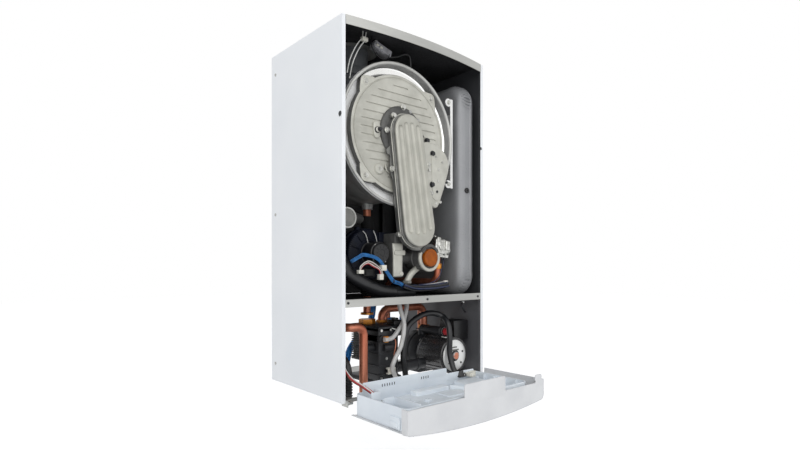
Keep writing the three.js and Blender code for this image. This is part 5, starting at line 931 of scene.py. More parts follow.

# %% [markdown]
# The mixer, where gas meets air, is a turned and cast alloy body with an orange nylon cap in its mouth.
# The body sits in the duct's shade, so it is painted nearly black as that shade, and only the lower part of
# its mouth ring is painted pale as light. The gas valve beside it is a squared casting with a coil, unions
# and set screws, all bright.

# %% Mixer and gas valve
body = turned([(0, -279), (24, -279), (24, -283.4), (25, -284), (29.4, -284), (30.8, -282.6), (31, -279),
    (30, -278), (30, -262), (28.6, -260.6), (28.6, -256), (30, -254.6), (30, -232), (28, -224), (24, -218),
    (0, -218)], mixer_axis, steps=72)
# The body is painted dark as shade, and the lower part of its mouth ring pale as painted light
wear(body, cast_shade)
coat(body, cast, lambda x, y, z: y < -278.4 and off(mixer_axis, x, z) > 23.6 and z < 292)
neck = turned([(0, -20), (13, -20), (13, 20), (14.6, 21), (14.6, 26), (13, 27), (13, 37), (0, 37)],
    (0, -239, 281), "x", steps=40)
nozzle = turned([(0, 0), (9, 0), (9, 30.8), (0, 30.8)], (38, -250, 293), "x", steps=32)
leg = cord([(44, -254, 272), (22, -258, 258), (4, -258, 245), (-4, -254, 229)], 7.2, cast_pale, 8, 6)
elbow = wear(turned([(0, 0), (9, 0), (10, 1), (10, 7), (9, 8), (0, 8)], (40, -254, 272), "x", steps=32),
    cast_pale)
foot = wear(turned([(0, 0), (9.6, 0), (10.4, 1), (10.4, 6), (9.6, 7), (0, 7)], (-4, -254, 224), "z",
    steps=6), cast_mid)
lug = [(0, -262), (4.4, -262), (4.4, -279), (3.6, -280), (0, -280)]
lugs = [turned(lug, place, steps=24) for place in around(mixer_axis, 29, 0, (0.9, 2.4, 4.0, 5.6))]
# Neck, nozzle and lugs are painted dark as shade
shaded = wear(one([neck, nozzle] + lugs), cast_shade)
mixer = done([body, shaded, leg, elbow, foot], "cast_mixer", None, ["mixer_body"])
cap = turned([(0, -287.6), (10, -287.6), (12.4, -287.9), (15, -288.5), (17.4, -289), (18.6, -288.6),
    (19.5, -287.2), (19.5, -279.4), (0, -279.4)], mixer_axis, steps=64)
done(cap, "orange_cap", orange_cap, ["mixer_cap"])
valve = [block((69.6, -268.6, 282.3), (113, -231.4, 323.7), 2.4, 3),
    block((76, -271, 290), (96, -231, 318), 2.4, 3), block((98, -272.4, 300), (112, -240, 322), 2, 3),
    block((72, -270.4, 308), (84, -240, 328), 2, 3), turned([(0, 0), (13, 0), (13, 5), (12, 6), (12, 9),
    (10, 12.6), (5, 12.9), (0, 12.9)], (113.2, -250, 303), "x", steps=40),
    turned([(0, 0), (6, 0), (6, -3), (5, -4), (0, -4)], (84, -270.8, 304), "y", steps=24),
    turned([(0, 0), (4, 0), (4, -1.6), (3.4, -2), (0, -2)], (104, -271, 311), "y", steps=24),
    turned([(0, 0), (11, 0), (11, -5), (9.6, -6), (9.6, -9), (0, -9)], (91.3, -250, 291), "z", steps=6),
    turned([(0, 0), (7, 0), (7, 6), (6, 7), (4, 7), (4, 10), (0, 10)], (80, -250, 322), "z", steps=6),
    turned([(0, 0), (6, 0), (6, 7), (5, 8), (0, 8)], (102, -256, 318), "z", steps=6),
    turned([(0, 0), (10.4, 0), (10.4, 6), (9.4, 7), (0, 7)], (71, -250, 293), "-x", steps=6)]
done(spin(one(valve), -0.1, "Y", (91, -250, 303)), "cast_gas_valve", zinc, ["gas_valve"])
screws("valve_screws", "pan", 2.4, [(96, -269.2, 289), (108, -269.2, 290), (80, -269.2, 287)], cast_mid)
told("mixer", mixer)

# %% [markdown]
# Pipes. Copper is bent cold on a former, so every corner has the same radius, and where it enters a union
# it carries a nut. A line with arcs at its corners is given a round section of the pipe's own radius.

# %% Copper pipes
def piped(name, corners, radius, bend, stands_for):
    done(tube(bent(corners, bend), radius), name, copper, [stands_for], smooth=60)


def union(place, across, height, facing="z"):
    """A six-sided nut, its corners turned off at both ends."""
    alone()
    bpy.ops.mesh.primitive_cylinder_add(vertices=6, radius=across / 1732, depth=height / 1000,
        location=(0, 0, height / 2000))
    nut = bpy.context.object
    edit(nut)
    pick(nut, "EDGE", lambda p: p.z < 1e-5 or p.z > height / 1000 - 1e-5)
    bpy.ops.mesh.bevel(offset=across / 12000, segments=2, affect="EDGES")
    bpy.ops.object.mode_set(mode="OBJECT")
    return put(nut, place, turns[facing])


def sleeve(place, radius, length, facing="z", edge=0.8):
    """A plain turned collar with softened rims, standing on its place."""
    return turned([(0, 0), (radius - edge, 0), (radius, edge), (radius, length - edge),
        (radius - edge, length), (0, length)], place, facing, steps=36)


piped("gas_line", [(91.3, -250, 281.7), (91.3, -250, 226), (91.3, -62, 226), (91.3, -62, -22)], 7.4, 22,
    "gas_pipe")
piped("return_line", [(return_x, return_y, 392.7), (return_x, return_y, 153)], 9, 18, "return_pipe")
piped("flow_line", [(-150, -110, 447.7), (-150, -110, 136), (-150, -240, 136), (-111, -240, 136),
    (-111, -240, -20)], 9, 18, "flow_pipe")
piped("arch_line", [(138, -151, 101.3), (138, -151, 161), (4, -151, 161), (4, -151, 130.6)], 9, 22,
    "arch_pipe")
piped("vessel_line", [(165, -104, 190), (165, -104, 60), (165, -121.7, 60)], 5, 12, "vessel_pipe")
cold = flowing([(34, -80, 189.7), (32, -80, 164), (23, -80, 126), (-13, -80, 90), (-38, -80, 60),
    (-48, -80, 26), (-56, -80, 0), (-56, -80, -22)], 10)
done(tube(cold, 7.9, 8), "cold_line", azure, ["cold_water_pipe"], smooth=60)

nuts = [union((91.3, -250, 262), 19, 12), union((91.3, -62, 8), 24, 16), sleeve((91.3, -62, 24), 9, 5),
    union((-56, -80, 8), 26, 14), union((165, -121, 60), 15, 9, "y"), union((138, -151, 108), 24, 13),
    union((4, -151, 131), 22, 10), sleeve((-150, -110, 440), 13, 8)]
done(nuts, "pipe_unions", brass)
# A black sleeve over the return pipe above the fan paints the shade that hides it
shade_tube = turned([(9.2, 0), (13, 0), (14, 1), (14, 182), (13, 183), (9.2, 183), (9.2, 0)],
    (return_x, return_y, 194), "z", steps=40)
done(shade_tube, "shade_sleeve_tube", shade_foam)
# The condensate's black corrugated hose leaves through the window in the floor
hose = cord([(-150, -190, 78), (-150, -220, 72), (-150, -238, 54), (-150, -240, 28), (-150, -240, -16)],
    8.4, steps=14, sides=7)
rings = [turned([(8, 0), (10, 0.8), (10, 2.2), (8, 3)], (-150, -240, -16 + 6 * i), "z", steps=32)
    for i in range(8)]
done([hose] + rings, "condensate_hose", rubber, smooth=60)
print("pipes drawn")

# %% Union nut
collar = turned([(9.3, 0), (15, 0), (15, 4), (14, 5), (9.3, 5)], (return_x, return_y, 150.6), "z", steps=40)
nut = done([union((return_x, return_y, 130.6), 34, 20), collar], "brass_union", brass, ["return_pipe_nut"])
told("union nut", nut)

# %% [markdown]
# Hoses and cables that the boiler holds along their whole way. Each follows the same points as its solid.
# The chamber's loom is not one cord but several thin wires, so lines that wind round the middle line
# stand for it: a flat band of blue wires at the left, and thin dark ones at the right.

# %% Chamber hose and wires
hose_line = flowing([(-180, -243, 300), (-160, -243, 258), (-145, -243, 243), (-113, -243, 226),
    (-72, -243, 211), (-32, -243, 206), (-5, -243, 205.4), (20, -243, 205.4)], 10)
cuff = turned([(12, 0), (13.6, 0.6), (13.9, 4), (13.6, 11), (12, 12)], (20, -243, 205.4), "-x", steps=40)
band = turned([(13.6, 0), (14.2, 0.6), (14.2, 5.4), (13.6, 6)], (-32, -243, 206), "-x", steps=40)
done([wear(tube(hose_line, 13.9, 10), rubber), wear(cuff, rubber), wear(band, black_abs)], "air_hose", None,
    ["black_hose"], smooth=60)

loom = [(-157, 271), (-137, 281), (-125, 285), (-90, 276), (-66, 248), (-50, 231), (-33, 226), (-14, 219),
    (20, 218), (66, 220), (107, 225)]
middle = flowing([(x, -262.6, z) for x, z in loom], 8)
left_part, right_part = middle[:53], middle[44:]
wires = []
for i in range(6):
    reach = 3.2 if i % 2 else 1.9
    wires.append(wear(tube(beside(left_part, reach, math.tau * i / 6, 1.6), 1.35, 3),
        blue_wire if i < 5 else navy_wire))
for i in range(4):
    wires.append(wear(tube(beside(right_part, 2.4, math.tau * i / 4, 3.4), 1.1, 3),
        (navy_wire, rubber, navy_wire, grey_pvc)[i]))
done(wires, "chamber_loom", None, ["chamber_wiring"], smooth=60)

# Plugs where the wires end, and four thin wires that arch out of them
plugs = [block((-142, -269, 247), (-130, -259, 255), 0.8), block((-84, -269.6, 253), (-72, -259, 265), 0.8),
    block((-90, -269.6, 234), (-80, -259, 246), 0.8), block((101, -267, 221), (111, -258, 229), 1.6)]
tie = [(3.4, -1.6), (4.6, -1.2), (4.6, 1.2), (3.4, 1.6)]
ties = [turned(tie, place, "x", steps=20) for place in ((-50, -262.6, 231), (20, -262.6, 218))]
arches = []
for i, finish in enumerate((white_wire, brown_wire, white_wire, red_wire)):
    lift = 1.8 * i
    arch = flowing([(-138, -266, 253), (-138 + lift, -269, 263), (-121, -270, 273 - lift),
        (-103 - lift, -270, 267 - lift), (-86 - lift, -268, 255), (-80 - lift, -266, 242)], 8)
    arches.append(wear(tube(arch, 1.1, 3), finish))
done([wear(plug, connector) for plug in plugs] + [wear(tie, rubber) for tie in ties] + arches, "loom_plugs",
    smooth=50)
thin = [flowing([(30, -258, 221), (60, -262, 224), (84, -262, 236), (100, -258, 258), (112, -252, 284)], 8),
    flowing([(-10, -258, 216), (30, -264, 213), (70, -264, 218), (104, -262, 228)], 8)]
done([wear(tube(line, 1.1, 3), navy_wire) for line in thin], "sensor_wires", smooth=60)

lead_line = flowing([(-41.8, -240, 718), (-22, -240, 724), (2, -240, 736), (16, -238, 735), (23, -234, 724),
    (28, -228, 702), (34, -222, 679)], 10)
done(tube(lead_line, 2.5, 5), "spark_lead", rubber, ["ignition_lead"], smooth=60)
print("chamber lines drawn")

# %% [markdown]
# The ignition unit hangs under the top panel, a potted grey box with a boot, two terminals and a plug.
# Beside it the flue's grey collar comes down to the exchanger, and two pale sensor wires run to a clip.

# %% Ignition unit and flue pipe
tilt = Matrix.Rotation(math.radians(16), 4, "Y")
unit = [block((-22.6, -250.6, 693), (22.6, -229.4, 707.2), 1.6, 3),
    block((-24, -249, 696), (-20, -231, 704), 1), block((-16, -251, 695.4), (14, -250, 704.6), 0.4),
    block((-10, -248, 691.6), (6, -234, 694), 0.8)]
for piece in unit:
    wear(piece, unit_grey)
boot = wear(turned([(0, 0), (3.4, 0), (4.4, 1), (4.4, 9), (3.2, 12), (0, 12)], (18, -240, 699.4), "x",
    steps=24), rubber)
tabs = [wear(block((-20, -254, 696), (-14, -250, 700), 0.5), connector),
    wear(block((-10, -254, 696), (-4, -250, 700), 0.5), connector)]
unit = one(unit + [boot] + tabs)
put(unit, (-66, 0, 726.4), tilt)
post = wear(block((-84, -245, 730), (-78, -235, 743), 1), strip_steel)
done([unit, post], "spark_unit", None, ["ignition_unit"])
flue_pipe = turned([(35, 0), (38, 0), (38, 24), (39.4, 25.4), (39.4, 27), (43, 28.6), (44, 30), (44, 45),
    (43, 47), (40.6, 47.6), (38, 49), (38, 70), (38, 93), (35, 93), (35, 0)], (flue_x, flue_y, 654), "z",
    steps=72)
done(flue_pipe, "flue_sleeve", flue_plastic, ["flue_duct"])
clips = [cord([(-128, -262, 742), (-130, -262, 728), (-140, -264, 716), (-150, -264, 700),
    (-160, -262, 676), (-164, -258, 650)], 1.2, white_wire),
    cord([(-120, -262, 742), (-124, -262, 724), (-136, -264, 708), (-146, -264, 690), (-154, -262, 668),
    (-158, -258, 640)], 1.2, white_wire), wear(block((-132, -267, 722), (-118, -258, 730), 0.8), connector),
    cord([(-100, -255, 742), (-104, -258, 722), (-96, -262, 706), (-88, -255, 712)], 1, rubber),
    cord([(-54, -255, 716), (-60, -258, 706), (-74, -258, 700), (-92, -258, 706), (-100, -255, 720)], 1,
    rubber)]
done(clips, "sensor_leads", smooth=60)
# The loom goes on to the right beyond its tie, thinner
way_on = flowing([(-24, -265, 220), (8, -266, 213), (50, -266, 213), (84, -268, 216), (108, -268, 220)], 8)
strands = [wear(tube(beside(way_on, 4.6, math.tau * i / 5, 1.2), 2.2, 4), rubber if i % 2 else navy_wire)
    for i in range(5)]
strands.append(wear(tube(way_on, 3.6, 6), rubber))
done(strands, "loom_branch", smooth=60)
print("ignition drawn")

# %% Lower hoses and cables
front_hose = flowing([(-13, -238, 189.6), (-13, -238, 181), (-12, -241, 166), (-8, -249, 132),
    (-18, -251, 89), (-36, -251, 60), (-41, -249, 42), (-30, -244, 24), (-16, -242, 6)], 10)
side_hose = flowing([(14, -232, 189.6), (14, -232, 181), (10, -236, 168), (3, -238, 150), (-4, -238, 134),
    (-18, -239, 119), (-34, -242, 107), (-47, -242.5, 104), (-58, -242.5, 104)], 10)
done(tube(front_hose, 5, 6), "drain_hose", grey_pvc, ["grey_hose_front"], smooth=60)
done(tube(side_hose, 5, 6), "sensing_hose", grey_pvc, ["grey_hose_side"], smooth=60)
clamps = []
for x, y, z in ((-13, -238, 184), (14, -232, 184)):
    clamps.append(turned([(5, 0), (6.2, 0.4), (6.2, 2.6), (5, 3)], (x, y, z - 2), "z", steps=28))
done(clamps, "hose_clamps", zinc)
cable = flowing([(5, -240, 2), (2, -240, 31), (-3, -240, 60), (0, -240, 95), (13, -240, 129),
    (47, -240, 148), (79, -242, 153), (104, -252, 146), (105, -272, 128), (103, -280, 100), (103, -280, 62),
    (104, -287, 36), (104, -296, 20), (104, -304, 14.4), (104, -311.4, 14)], 12)
pump_lead = done(tube(cable, 6.5, 7), "pump_lead", rubber, ["pump_cable"], body=None, smooth=60)
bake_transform(pump_lead)
strand = flowing([(-186, -268, 84), (-185, -280, 62), (-180, -298, 45), (-168, -322, 32), (-158, -342, 18),
    (-158, -350, -2), (-158, -351, -16.5)], 10)
wires = []
for i, finish in enumerate((red_wire, white_wire, red_wire, brown_wire, navy_wire)):
    wires.append(wear(tube(beside(strand, 2.3, math.tau * i / 5, 3.0), 1.3, 3), finish))
tray_loom = done(wires, "tray_loom", None, ["tray_wiring"], body=None, smooth=60)
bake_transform(tray_loom)
print("lower lines drawn")

# %% [markdown]
# The hydraulic group under the chamber floor. It is a dark moulded manifold: a tall body with a round
# tower, a slab across its top, sockets with spring clips, and the flow switch. Brass and nylon fittings
# stand on it. The plate exchanger behind it is a stack of pressed steel sheets brazed together, so it is
# modelled as sheets, not as one box.

# %% Hydraulic manifold
body = [block((-63, -229, 12), (-13, -181, 128), 3, 3), block((-63, -229, 117.6), (20, -119, 130), 2.4, 3),
    block((-62, -206, 2), (20, -105, 12.4), 2), block((-63, -229, 96), (-58, -181, 112), 1.4),
    sleeve((-20, -212, 12), 19, 108), sleeve((-20, -212, 118), 20.4, 8), sleeve((-20, -212, 60), 20.4, 4),
    sleeve((-20, -212, 34), 20.4, 4), sleeve((-52, -232, 84), 8, 22, "x"),
    sleeve((-64, -208, 84), 8.6, 21, "-x"), sleeve((-79, -208, 84), 10, 5, "-x"),
    sleeve((-20, -207, 32), 12, 106, "x"), sleeve((26, -207, 32), 14, 8, "x"),
    sleeve((62, -207, 32), 14, 8, "x"), sleeve((-56, -236, 104), 8.6, 12, "y"),
    sleeve((knob_x, knob_y, 112), 9, 10), block((19, -160, 104), (52, -142, 126), 3, 3)]
for z in (24, 44, 70, 90):
    body.append(block((-64.4, -230, z), (-12, -180.4, z + 2.4), 0.8))
done(body, "moulded_manifold", dark_iron, ["hydraulic_block"])
clip_lines = [
    (1.3, [(-30, -233, 126), (-26, -236, 124), (-20, -237, 123), (-14, -236, 124), (-10, -233, 126)]),
    (1.4, [(26, -164, 132), (26, -168, 129), (34, -170, 128), (46, -168, 129), (48, -162, 131)]),
    (1.2, [(-86, -214, 92), (-88, -220, 84), (-86, -214, 76)]),
    (1.5, [(100, -256, 98), (106, -259, 95.6), (116, -260, 95), (124, -258, 96)]),
]
clips = [cord(points, radius, steps=6, sides=3) for radius, points in clip_lines]
done(clips, "spring_clips", zinc, smooth=60)
screws("manifold_screws", "pan", 3, [(-56, -229.4, 18), (-42, -229.4, 60), (-56, -229.4, 122),
    (-30, -229.4, 122)])

# %% Plate stack
sheets = [plate(rounded(-60, 48.2 + 5 * i, 16, 50.6 + 5 * i, 1.1, 3), "front", 119.4, 57, 0.5, both=True)
    for i in range(1, 13)]
caps = [block((-60, -177, 48), (16, -119, 53), 1.4, 3), block((-60, -177, 111.6), (16, -119, 116.9), 1.4, 3)]
core = block((-57.6, -174.8, 50), (13.6, -121.2, 115), 5, 3)
# The stainless stack is painted dark as its shade
done(sheets + caps + [core], "brazed_plates", cast_shade, ["plate_exchanger"])

# %% Fittings on the manifold
nipple = [sleeve((-56, -238, 104), 5.4, 4, "x"), union((-52, -240, 104), 13, 9, "x"),
    sleeve((-43, -240, 104), 4.2, 7, "x"), sleeve((-36, -240, 104), 3, 4, "x")]
capillary = cord([(-32, -240, 104), (-27, -241, 101), (-25, -241, 92), (-27, -241, 80), (-28, -238, 66)],
    1.2, copper, 8, 4)
done([wear(one(nipple), brass), capillary], "brass_nipple", smooth=40)
switch = [block((-9, -216, 104), (18, -186, 140), 3.4, 4), sleeve((4.5, -201, 139), 8, 5),
    block((-6, -218, 110), (6, -215, 126), 1)]
done(switch, "diverter_cap", black_abs, ["diverter_motor"])
plug = [wear(block((-44, -240, 26), (-24, -229, 40), 1.2, 3), connector),
    wear(block((-40, -243, 29), (-28, -239, 37), 0.8), connector),
    wear(block((-47, -237, 30), (-43, -231, 37), 0.8), black_abs)]
leads = [cord([(-30 + 4 * i, -242, 31), (-26 + 4 * i, -248, 24), (-14 + 3 * i, -250, 14),
    (-2 + 3 * i, -250, 8)], 1.2, rubber) for i in range(2)]
done(plug + leads, "sensor_plug", smooth=40)
dome = turned([(0, 0), (9, 0), (9, 3), (8.4, 6), (6, 8.4), (3, 9.6), (0, 10)], (14, -232, 8), "z", steps=32)
done(dome, "drain_cap", red_abs)
small = [wear(sleeve((52, -166, 132), 4.4, 10), azure),
    wear(block((56, -172, 126), (70, -158, 140), 2, 3), flue_plastic),
    wear(sleeve((62, -165, 140), 4, 8), connector)]
done(small, "flow_sensor")
print("manifold drawn")

# %% [markdown]
# The filling knob is a scalloped nylon knob on a thin stem: a hand under the boiler turns it to let water in.
# Its grip is a plate with a waved outline, and a small dished cap with a pointer tops it.

# %% Filling knob
grip = plate(waved(knob_x, knob_y, 11.4, 0.55, 10, 72), "up", 127.4, 10.6, 1.2, both=True)
stem = turned([(0, 121), (3, 121), (3, 127.6), (0, 127.6)], (knob_x, knob_y, 0), "z", steps=24)
cap = turned([(0, 0), (7, 0), (7, 1), (6, 1.5), (0, 1.5)], (knob_x, knob_y, 137.8), "z", steps=40)
mark = block((36.4, -151, 138.9), (37.6, -145, 139.3), 0.15)
done([wear(one([grip, stem, cap]), azure), wear(mark, white_wire)], "fill_knob", None, ["filling_knob"],
    body="filling_knob")

# %% Pump
volute = turned([(0, -122), (40, -122), (45, -124), (47, -128), (47, -150), (45.6, -152), (45.6, -156),
    (47, -158), (47, -176), (45, -180), (0, -180)], pump_axis, steps=72)
riser = [sleeve((138, -151, 60), 13, 41), union((138, -151, 92), 26, 9), sleeve((108, -168, 108), 10, 1),
    sleeve((117, -168, 40), 10, 68)]
foot = [block((100, -176, 1.6), (160, -100.4, 12), 2), block((110, -170, 8), (150, -126, 30), 3)]
tower = [turned([(0, -168), (10, -168), (10, -246), (9, -250), (0, -250)], relief_axis, steps=36),
    turned([(10, -236), (11.4, -237), (11.4, -242), (10, -243)], relief_axis, steps=36)]
done([volute] + riser + foot + tower, "pump_volute", dark_iron, ["pump_body"])
screws("pump_bolts", "hex", 3.6, around(pump_axis, 40, -180.6, (0.8, 2.35, 3.9, 5.5)), dull_steel)
barrel = turned([(27, -181), (42, -181), (43.6, -182), (43.6, -186), (42.2, -187), (42.2, -262),
    (43.6, -263), (43.6, -266.6), (42, -268.2), (30, -268.2), (27, -262), (27, -181)], pump_axis, steps=96)
fins = [spin(block((171, -258, 51.1), (173.8, -190, 52.9), 0.6), math.tau * i / 20, "Y", pump_axis)
    for i in range(20)]
barrel = wear(one([barrel] + fins), pump_paint)
face = turned([(9.4, -268), (9.4, -269.2), (11.4, -270.4), (13, -270.8), (30, -270.8), (34, -270.2),
    (36.4, -269), (37, -267.6), (9.4, -267.6), (9.4, -268)], pump_axis, steps=96)
wear(face, strip_steel)
dish = wear(turned([(9.2, -269), (9.2, -270.9), (12.6, -270.95), (13, -270.8), (13, -269)], pump_axis,
    steps=64), dark_iron)
plates_on = [wear(block((116, -271.1, 70), (136, -270.6, 73.4), 0.2), cast_mid),
    wear(block((112, -271.1, 63.6), (142, -270.6, 67.2), 0.2), cast_mid)]
done([barrel, face, dish] + plates_on, "pump_barrel", None, ["pump_motor"])
screws("face_screws", "pan", 2.4, [(154, -270.8, 60), (149, -270.8, 34), (110, -270.8, 36)], dark_iron)
vent = turned([(0, -261.4), (4, -261.4), (4, -270.9), (8.6, -271), (9, -271.6), (9, -274.2), (8, -275.3),
    (0, -275.3)], pump_axis, steps=40)
vent = carve(vent, [block((121, -278, 50.8), (139, -273.6, 53.2), 0.3)])
coat(wear(vent, copper), dull_steel, lambda x, y, z: off(pump_axis, x, z) > 6.4)
done(vent, "vent_plug", None, ["vent_screw"], body="vent_screw")
box = [block((143.2, -252, 84.2), (189.8, -203.2, 130.8), 2, 3),
    block((143, -255, 84), (190, -251, 131), 1.2, 3), block((150, -204, 90), (176, -199, 112), 1),
    block((146, -255.2, 100), (147.6, -206, 118), 0.5)]
done(box, "terminal_cover", black_abs, ["pump_terminal_box"])
screws("cover_screws", "pan", 2, [(148, -255, 126), (185, -255, 89)], dark_iron)
knob = [plate(waved(117, 108, 7.9, 0.55, 6, 48), "front", 250.6, 11.4, 1.4),
    turned([(0, -246), (3, -246), (3, -251), (0, -251)], relief_axis, steps=20),
    turned([(0, -261), (5, -261), (5, -262.2), (0, -262.2)], relief_axis, steps=32)]
done(knob, "relief_grip", red_abs, ["relief_knob"], body="relief_knob")
ring_clip = turned([(8, -245), (9.6, -245.6), (9.6, -248), (8, -248.6)], relief_axis, steps=36)
done(ring_clip, "relief_collar", connector)
print("pump drawn")

# %% [markdown]
# The condensate trap is a blow-moulded bottle: a neck under the chamber floor, a body with soft ribs and
# a screwed cup at its foot.

# %% Condensate trap
bottle = turned([(0, 44), (14, 44), (16, 46), (16, 58), (14, 60), (16, 62), (22, 66), (26, 72), (26, 92),
    (25, 94), (25, 98), (26, 100), (26, 122), (25, 124), (25, 128), (26, 130), (26, 150), (23, 160),
    (14, 168), (12, 172), (12, 189.6), (0, 189.6)], (-160, -56, 0), "z", steps=64)
done(bottle, "trap_bottle", black_abs, ["condensate_trap"])
print("trap drawn")

# %% [markdown]
# The control tray, folded down. Its fascia is one ABS moulding: a bowed shell with a rounded front edge,
# cut away at the right for a hand, with a tall middle and a tab. The shell is a drawn section given
# depth, hollowed by a smaller one. Places along the tray are measured out from its hinge, which lies at
# y -298. The face with the dials looks down while the tray hangs open.

# %% Fascia
def bow(x):
    """Height of the fascia's bowed face."""
    return -22 - 13 * (1 - (x / 190) ** 2)


def bowl(half, drop, top):
    """The section of a shell over half its width, its face that far above the bow."""
    low_edge = [(x * half / 190, bow(x) + drop) for x in range(-184, 185, 8)]
    return [(half, top), (-half, top), (-half, bow(190) + drop + 4),
        (-half + 1.6, bow(190) + drop + 1.2)] + low_edge + [(half - 1.6, bow(190) + drop + 1.2),
        (half, bow(190) + drop + 4)]


shell = plate(bowl(190, 0.1, 22), "front", 310, 167.8)
hollow = plate(bowl(187.5, 2.6, 30), "front", 300, 175.4)
for bar, front, corner in ((shell, -0.4778, 0.011), (hollow, -0.4754, 0.009)):
    edit(bar)
    pick(bar, "EDGE", lambda p: p.y < front + 0.0001 and abs(p.x) > 0.1872 and abs(p.z + 0.698) < 0.012)
    bpy.ops.mesh.bevel(offset=corner, segments=8, affect="EDGES")
    bpy.ops.object.mode_set(mode="OBJECT")
edit(shell)
pick(shell, "EDGE", lambda p: p.y < -0.4777 and p.z < -0.7155)
bpy.ops.mesh.bevel(offset=0.0044, segments=6, affect="EDGES")
bpy.ops.object.mode_set(mode="OBJECT")
shell = carve(shell, [hollow])
shell = carve(shell, [block((62, -485, 17), (160, -470, 30), 1.5),
    block((-195, -461, -19.4), (-184, -305, 30), 1.5)])
middle = plate([(-53, 8), (62, 8), (62, 43), (61, 45.2), (59, 46), (-50, 46), (-52, 45.2), (-53, 43)],
    "front", 475.5, 2.35, 0.4)
tab = plate([(160, 8), (182, 8), (182, 31), (181, 33.2), (179, 34), (163, 34), (161, 33.2), (160, 31)],
    "front", 475.5, 2.35, 0.4)
ears = []
for side in (-1, 1):
    start = -190 if side < 0 else 187
    arm = plate([(-298 + 10 * math.cos(a / 8), 10 * math.sin(a / 8)) for a in range(0, 26)]
        + [(-308, -4), (-308, -20), (-320, -20), (-320, 10), (-300, 10)], "right", start, 3, 0.8, both=True)
    ears.append(carve(arm, [turned([(0, -1), (4.3, -1), (4.3, 4), (0, 4)], (start, -298, 0), "x", steps=32)]))
dial_rim = [(0, 0), (18, 0), (19.4, 0.6), (20, 1.6), (20, 9), (0, 9)]
raised = [turned(dial_rim, (x, dial_y, dial_face), "z", steps=72) for x in dial_xs]
raised.append(turned([(6.4, 0), (8.4, 0), (9, 0.6), (9, 9), (6.4, 9), (6.4, 0)], (10, dial_y, dial_face),
    "z", steps=48))
bezel = plate(rounded(39, -417, 109, -375, 4), "up", dial_face, 6, 0)
bezel = carve(bezel, [block((47, -409, -45), (101, -383, -20), 0.8)])
raised.append(bezel)
pads = [turned([(0, 0), (6, 0), (6, 7), (0, 7)], (x, y, -27), "z", steps=24) for x in (-140, 140)
    for y in (-332, -448)]
fascia = done([shell, middle, tab] + ears + raised + pads, "moulded_fascia", abs_white, ["control_fascia"],
    body="control_tray", smooth=40)
# A plain scale of dashes round each dial
dashes = []
for x in dial_xs:
    for i in range(11):
        dash = block((x + 21.4, dial_y - 0.4, bow(x) - 0.24), (x + 25, dial_y + 0.4, bow(x) + 0.4), 0.15, 1)
        dashes.append(spin(dash, math.radians(-135 + 27 * i), "Z", (x, dial_y, bow(x))))
done(dashes, "dial_dashes", unit_grey, body="control_tray")
told("fascia", fascia)

# %% Dials, button and display
for side, x in zip(("left", "right"), dial_xs):
    skirt = turned([(0, 0), (17, 0), (17, -2), (14.4, -4.2), (0, -4.2)], (x, dial_y, dial_face - 0.3), "z",
        steps=72)
    body = plate(waved(x, dial_y, 13.7, 0.3, 24, 72), "up", -50.2, 9, 0)
    ridge = block((x - 2, -410, -52.3), (x + 2, -382, -48), 1.2, 3)
    line = wear(block((x - 0.5, -409, -52.35), (x + 0.5, -398, -52), 0.1, 1), unit_grey)
    shaft = turned([(0, 0), (4, 0), (4, 13.8), (0, 13.8)], (x, dial_y, dial_face - 0.3), "z", steps=24)
    dial = wear(one([skirt, body, ridge, shaft]), abs_white)
    done([dial, line], "dial_" + side, None, ["temperature_knob_" + side], body="temperature_knob_" + side)
cap = turned([(0, -40), (5, -40), (6, -39.2), (6, -34), (2.5, -34), (2.5, -25), (0, -25)], (10, dial_y, 0),
    "z", steps=40)
done(cap, "round_button", unit_grey, ["mode_button"], body="mode_button")
print("dials drawn")

# %% [markdown]
# The control box sits in the fascia: a bluish white ABS tub with round corners, a tall back wall pierced
# by wire slots, ribs and posts inside, and a snap latch at its left. A lid covers the board, with raised
# housings over its relays, a sloping rib and a screw hole.

# %% Control box
tub = plate(rounded(-184, -466, 150, -312, 14, 8), "up", -19, 40, 0.8, both=True)
tub = carve(tub, [plate(rounded(-181.8, -463.8, 147.8, -314.2, 12, 8), "up", -16.8, 45)])
back = plate(rounded(-165, 19, 60, 38, 2), "front", 312.2, 1.6, 0.5, both=True)
# Two short combs of wire slots, painted black as the shade inside the blind slots
combs = [block((x, -314.1, 24), (x + 2, -312.6, 29.4), 0.3) for x in [-119 + 6.2 * i for i in range(6)]
    + [-15 + 6.2 * i for i in range(4)]]
done(combs, "wire_slots", black_abs, body="control_tray")
second = plate(rounded(60, 10, 146, 26, 3), "front", 313, 2, 0.7, both=True)
inner = [block((-140 + 38 * i, -464.4, -17), (-137.6 + 38 * i, -458, 20), 0.7) for i in range(8)]
inner += [block((left, -440 + 30 * i, -17), (right, -437.6 + 30 * i, 19), 0.7)
    for left, right in ((-182.4, -176), (141, 148.4)) for i in range(4)]
outer = [block((-183.8, -430 + 34 * i, -18), (-183, -427 + 34 * i, 19.6), 0.5) for i in range(4)]
rail = plate(rounded(-150, -17, 40, -3, 1.4), "front", 314, 13, 1)
teeth = [block((-146.4 + 15.5 * i, -329, -9), (-134.4 + 15.5 * i, -320, 0), 0.5) for i in range(12)]
rail = carve(rail, teeth)
screens = [block((-150, -464, -17), (-147.8, -388, 24), 0.8),
    block((-172, -390, -17), (-148, -387.8, 24), 0.8), block((-172, -352, -17), (-150, -349.8, 27), 0.8),
    block((-152, -352, -17), (-149.8, -330, 27), 0.8)]
posts = [turned([(0, 0), (4.4, 0), (3.6, 30), (1.6, 30), (1.6, 24), (0, 24)], (x, y, -17.2), "z", steps=24)
    for x, y in ((-164, -440), (-164, -368), (138, -440), (138, -334))]
